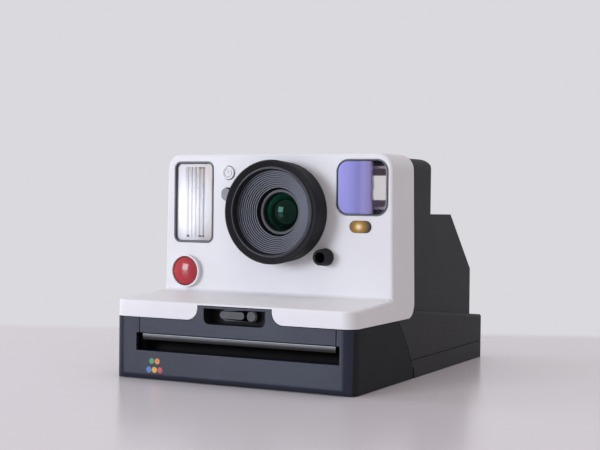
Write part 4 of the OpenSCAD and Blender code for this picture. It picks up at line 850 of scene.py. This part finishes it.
# Pale table, in metres: a plain semi-gloss floor that runs into the pale room behind an edge line and all round
table = {"near": "#e3dfe2", "far": "#dad9de", "edgeFrom": (-0.2335, 0.0624), "edgeTo": (0.0831, 0.1922),
         "soft": 0.03, "round": (0.4, 0.8), "grain": 0.06, "rough": (0.2, 0.27), "ior": 1.4, "half": 3}
floorMat, tree = newMaterial("semi_gloss_pale_table")
place = addNode(tree, "ShaderNodeTexCoord")
run = Vector(table["edgeTo"]) - Vector(table["edgeFrom"])
across = Vector((-run.y, run.x)).normalized()
edgeAt = across.dot(Vector(table["edgeFrom"]))
reach = addNode(tree, "ShaderNodeVectorMath", {"operation": "DOT_PRODUCT"}, {1: (across.x, across.y, 0)},
                {0: place.outputs["Object"]})
beyond = addNode(tree, "ShaderNodeMapRange", {"interpolation_type": "SMOOTHSTEP"},
                 {"From Min": edgeAt - table["soft"] / 2, "From Max": edgeAt + table["soft"] / 2},
                 {"Value": reach.outputs["Value"]})
away = addNode(tree, "ShaderNodeVectorMath", {"operation": "LENGTH"}, links={0: place.outputs["Object"]})
outside = addNode(tree, "ShaderNodeMapRange", {"interpolation_type": "SMOOTHSTEP"},
                  {"From Min": table["round"][0], "From Max": table["round"][1]}, {"Value": away.outputs["Value"]})
either = addNode(tree, "ShaderNodeMath", {"operation": "MAXIMUM"},
                 links={0: beyond.outputs["Result"], 1: outside.outputs["Result"]})
shown = shownRays(tree)
share = addNode(tree, "ShaderNodeMath", {"operation": "MULTIPLY"},
                links={0: shown.outputs[0], 1: either.outputs[0]})
grain = addNode(tree, "ShaderNodeTexNoise", inputs={"Scale": 1 / table["grain"], "Detail": 4},
                links={"Vector": place.outputs["Object"]})
rough = addNode(tree, "ShaderNodeMapRange", inputs={"To Min": table["rough"][0], "To Max": table["rough"][1]},
                links={"Value": grain.outputs["Fac"]})
near = addNode(tree, "ShaderNodeBsdfPrincipled",
               inputs={"Base Color": hexColour(table["near"]), "IOR": table["ior"]},
               links={"Roughness": rough.outputs["Result"]})
far = addNode(tree, "ShaderNodeEmission", inputs={"Color": hexColour(table["far"])})
both = addNode(tree, "ShaderNodeMixShader", links={0: share.outputs[0], 1: near.outputs[0], 2: far.outputs[0]})
finishMaterial(tree, both)
floorMesh = bpy.data.meshes.new("floor")
floorMesh.from_pydata([(table["half"] * x, table["half"] * y, 0) for x, y in ((-1, -1), (1, -1), (1, 1), (-1, 1))],
                      [], [(0, 1, 2, 3)])
floorMesh.materials.append(floorMat)
floor = bpy.data.objects.new("floor", floorMesh)
scene.collection.objects.link(floor)

# A window pane from the front left, a wide soft one from the left and a weak overhead panel; only the window shows
# in reflections, so the others leave no glare on the table
lamps = {
    "frontPane": {"at": (-0.66, -1.26, 0.27), "to": (0, 0, 0.05), "size": (0.55, 0.5), "power": 9.1,
                  "tint": "#e9f0ff", "mirrored": True},
    "leftPane": {"at": (-1.35, -0.25, 0.42), "to": (0, 0, 0.05), "size": (0.5, 0.8), "power": 5.6,
                 "tint": "#e9f2ff", "mirrored": False},
    "overhead": {"at": (0.1, 0.0, 1.4), "to": (0, 0, 0), "size": (1.0, 1.0), "power": 3.2,
                 "tint": "#fff8f8", "mirrored": False},
}
for name, look in lamps.items():
    lamp = bpy.data.lights.new(name, "AREA")
    lamp.shape = "RECTANGLE"
    lamp.size, lamp.size_y = look["size"]
    lamp.energy = look["power"]
    lamp.color = hexColour(look["tint"])[:3]
    holder = bpy.data.objects.new(name, lamp)
    holder.location = look["at"]
    holder.rotation_euler = (Vector(look["to"]) - Vector(look["at"])).to_track_quat("-Z", "Y").to_euler()
    holder.visible_camera = False
    holder.visible_glossy = look["mirrored"]
    scene.collection.objects.link(holder)

# Pale room: its colour where it is seen, a softer level where it only lights
room = {"seen": "#dad9de", "light": "#f3ebef", "level": 0.6}
world = bpy.data.worlds.new("paleRoom")
world.use_nodes = True
tree = world.node_tree
tree.nodes.clear()
shown = shownRays(tree)
soft = addNode(tree, "ShaderNodeBackground", inputs={"Color": hexColour(room["light"]), "Strength": room["level"]})
pale = addNode(tree, "ShaderNodeBackground", inputs={"Color": hexColour(room["seen"]), "Strength": 1.0})
both = addNode(tree, "ShaderNodeMixShader", links={0: shown.outputs[0], 1: soft.outputs[0], 2: pale.outputs[0]})
addNode(tree, "ShaderNodeOutputWorld", links={"Surface": both.outputs[0]})
scene.world = world

# Camera found by fitting the body's edges in the photograph, in metres and degrees
view = {"at": (0.25605, -0.51535, 0.07707), "azimuth": 26.991, "down": 1.317, "roll": 0.641,
        "focalPx": 1270.12, "widePx": 600, "sensorMm": 36}
az, down, roll = (math.radians(view[k]) for k in ("azimuth", "down", "roll"))
forward = Vector((-math.sin(az) * math.cos(down), math.cos(az) * math.cos(down), -math.sin(down)))
level = Vector((math.cos(az), math.sin(az), 0))
upright = level.cross(forward)
right = level * math.cos(roll) + upright * math.sin(roll)
top = upright * math.cos(roll) - level * math.sin(roll)
lens = bpy.data.cameras.new("photoView")
lens.sensor_width = view["sensorMm"]
lens.lens = view["focalPx"] * view["sensorMm"] / view["widePx"]
camera = bpy.data.objects.new("photoView", lens)
camera.matrix_world = Matrix((right, top, -forward)).transposed().to_4x4()
camera.location = view["at"]
scene.collection.objects.link(camera)
scene.camera = camera
print("camera and light set")
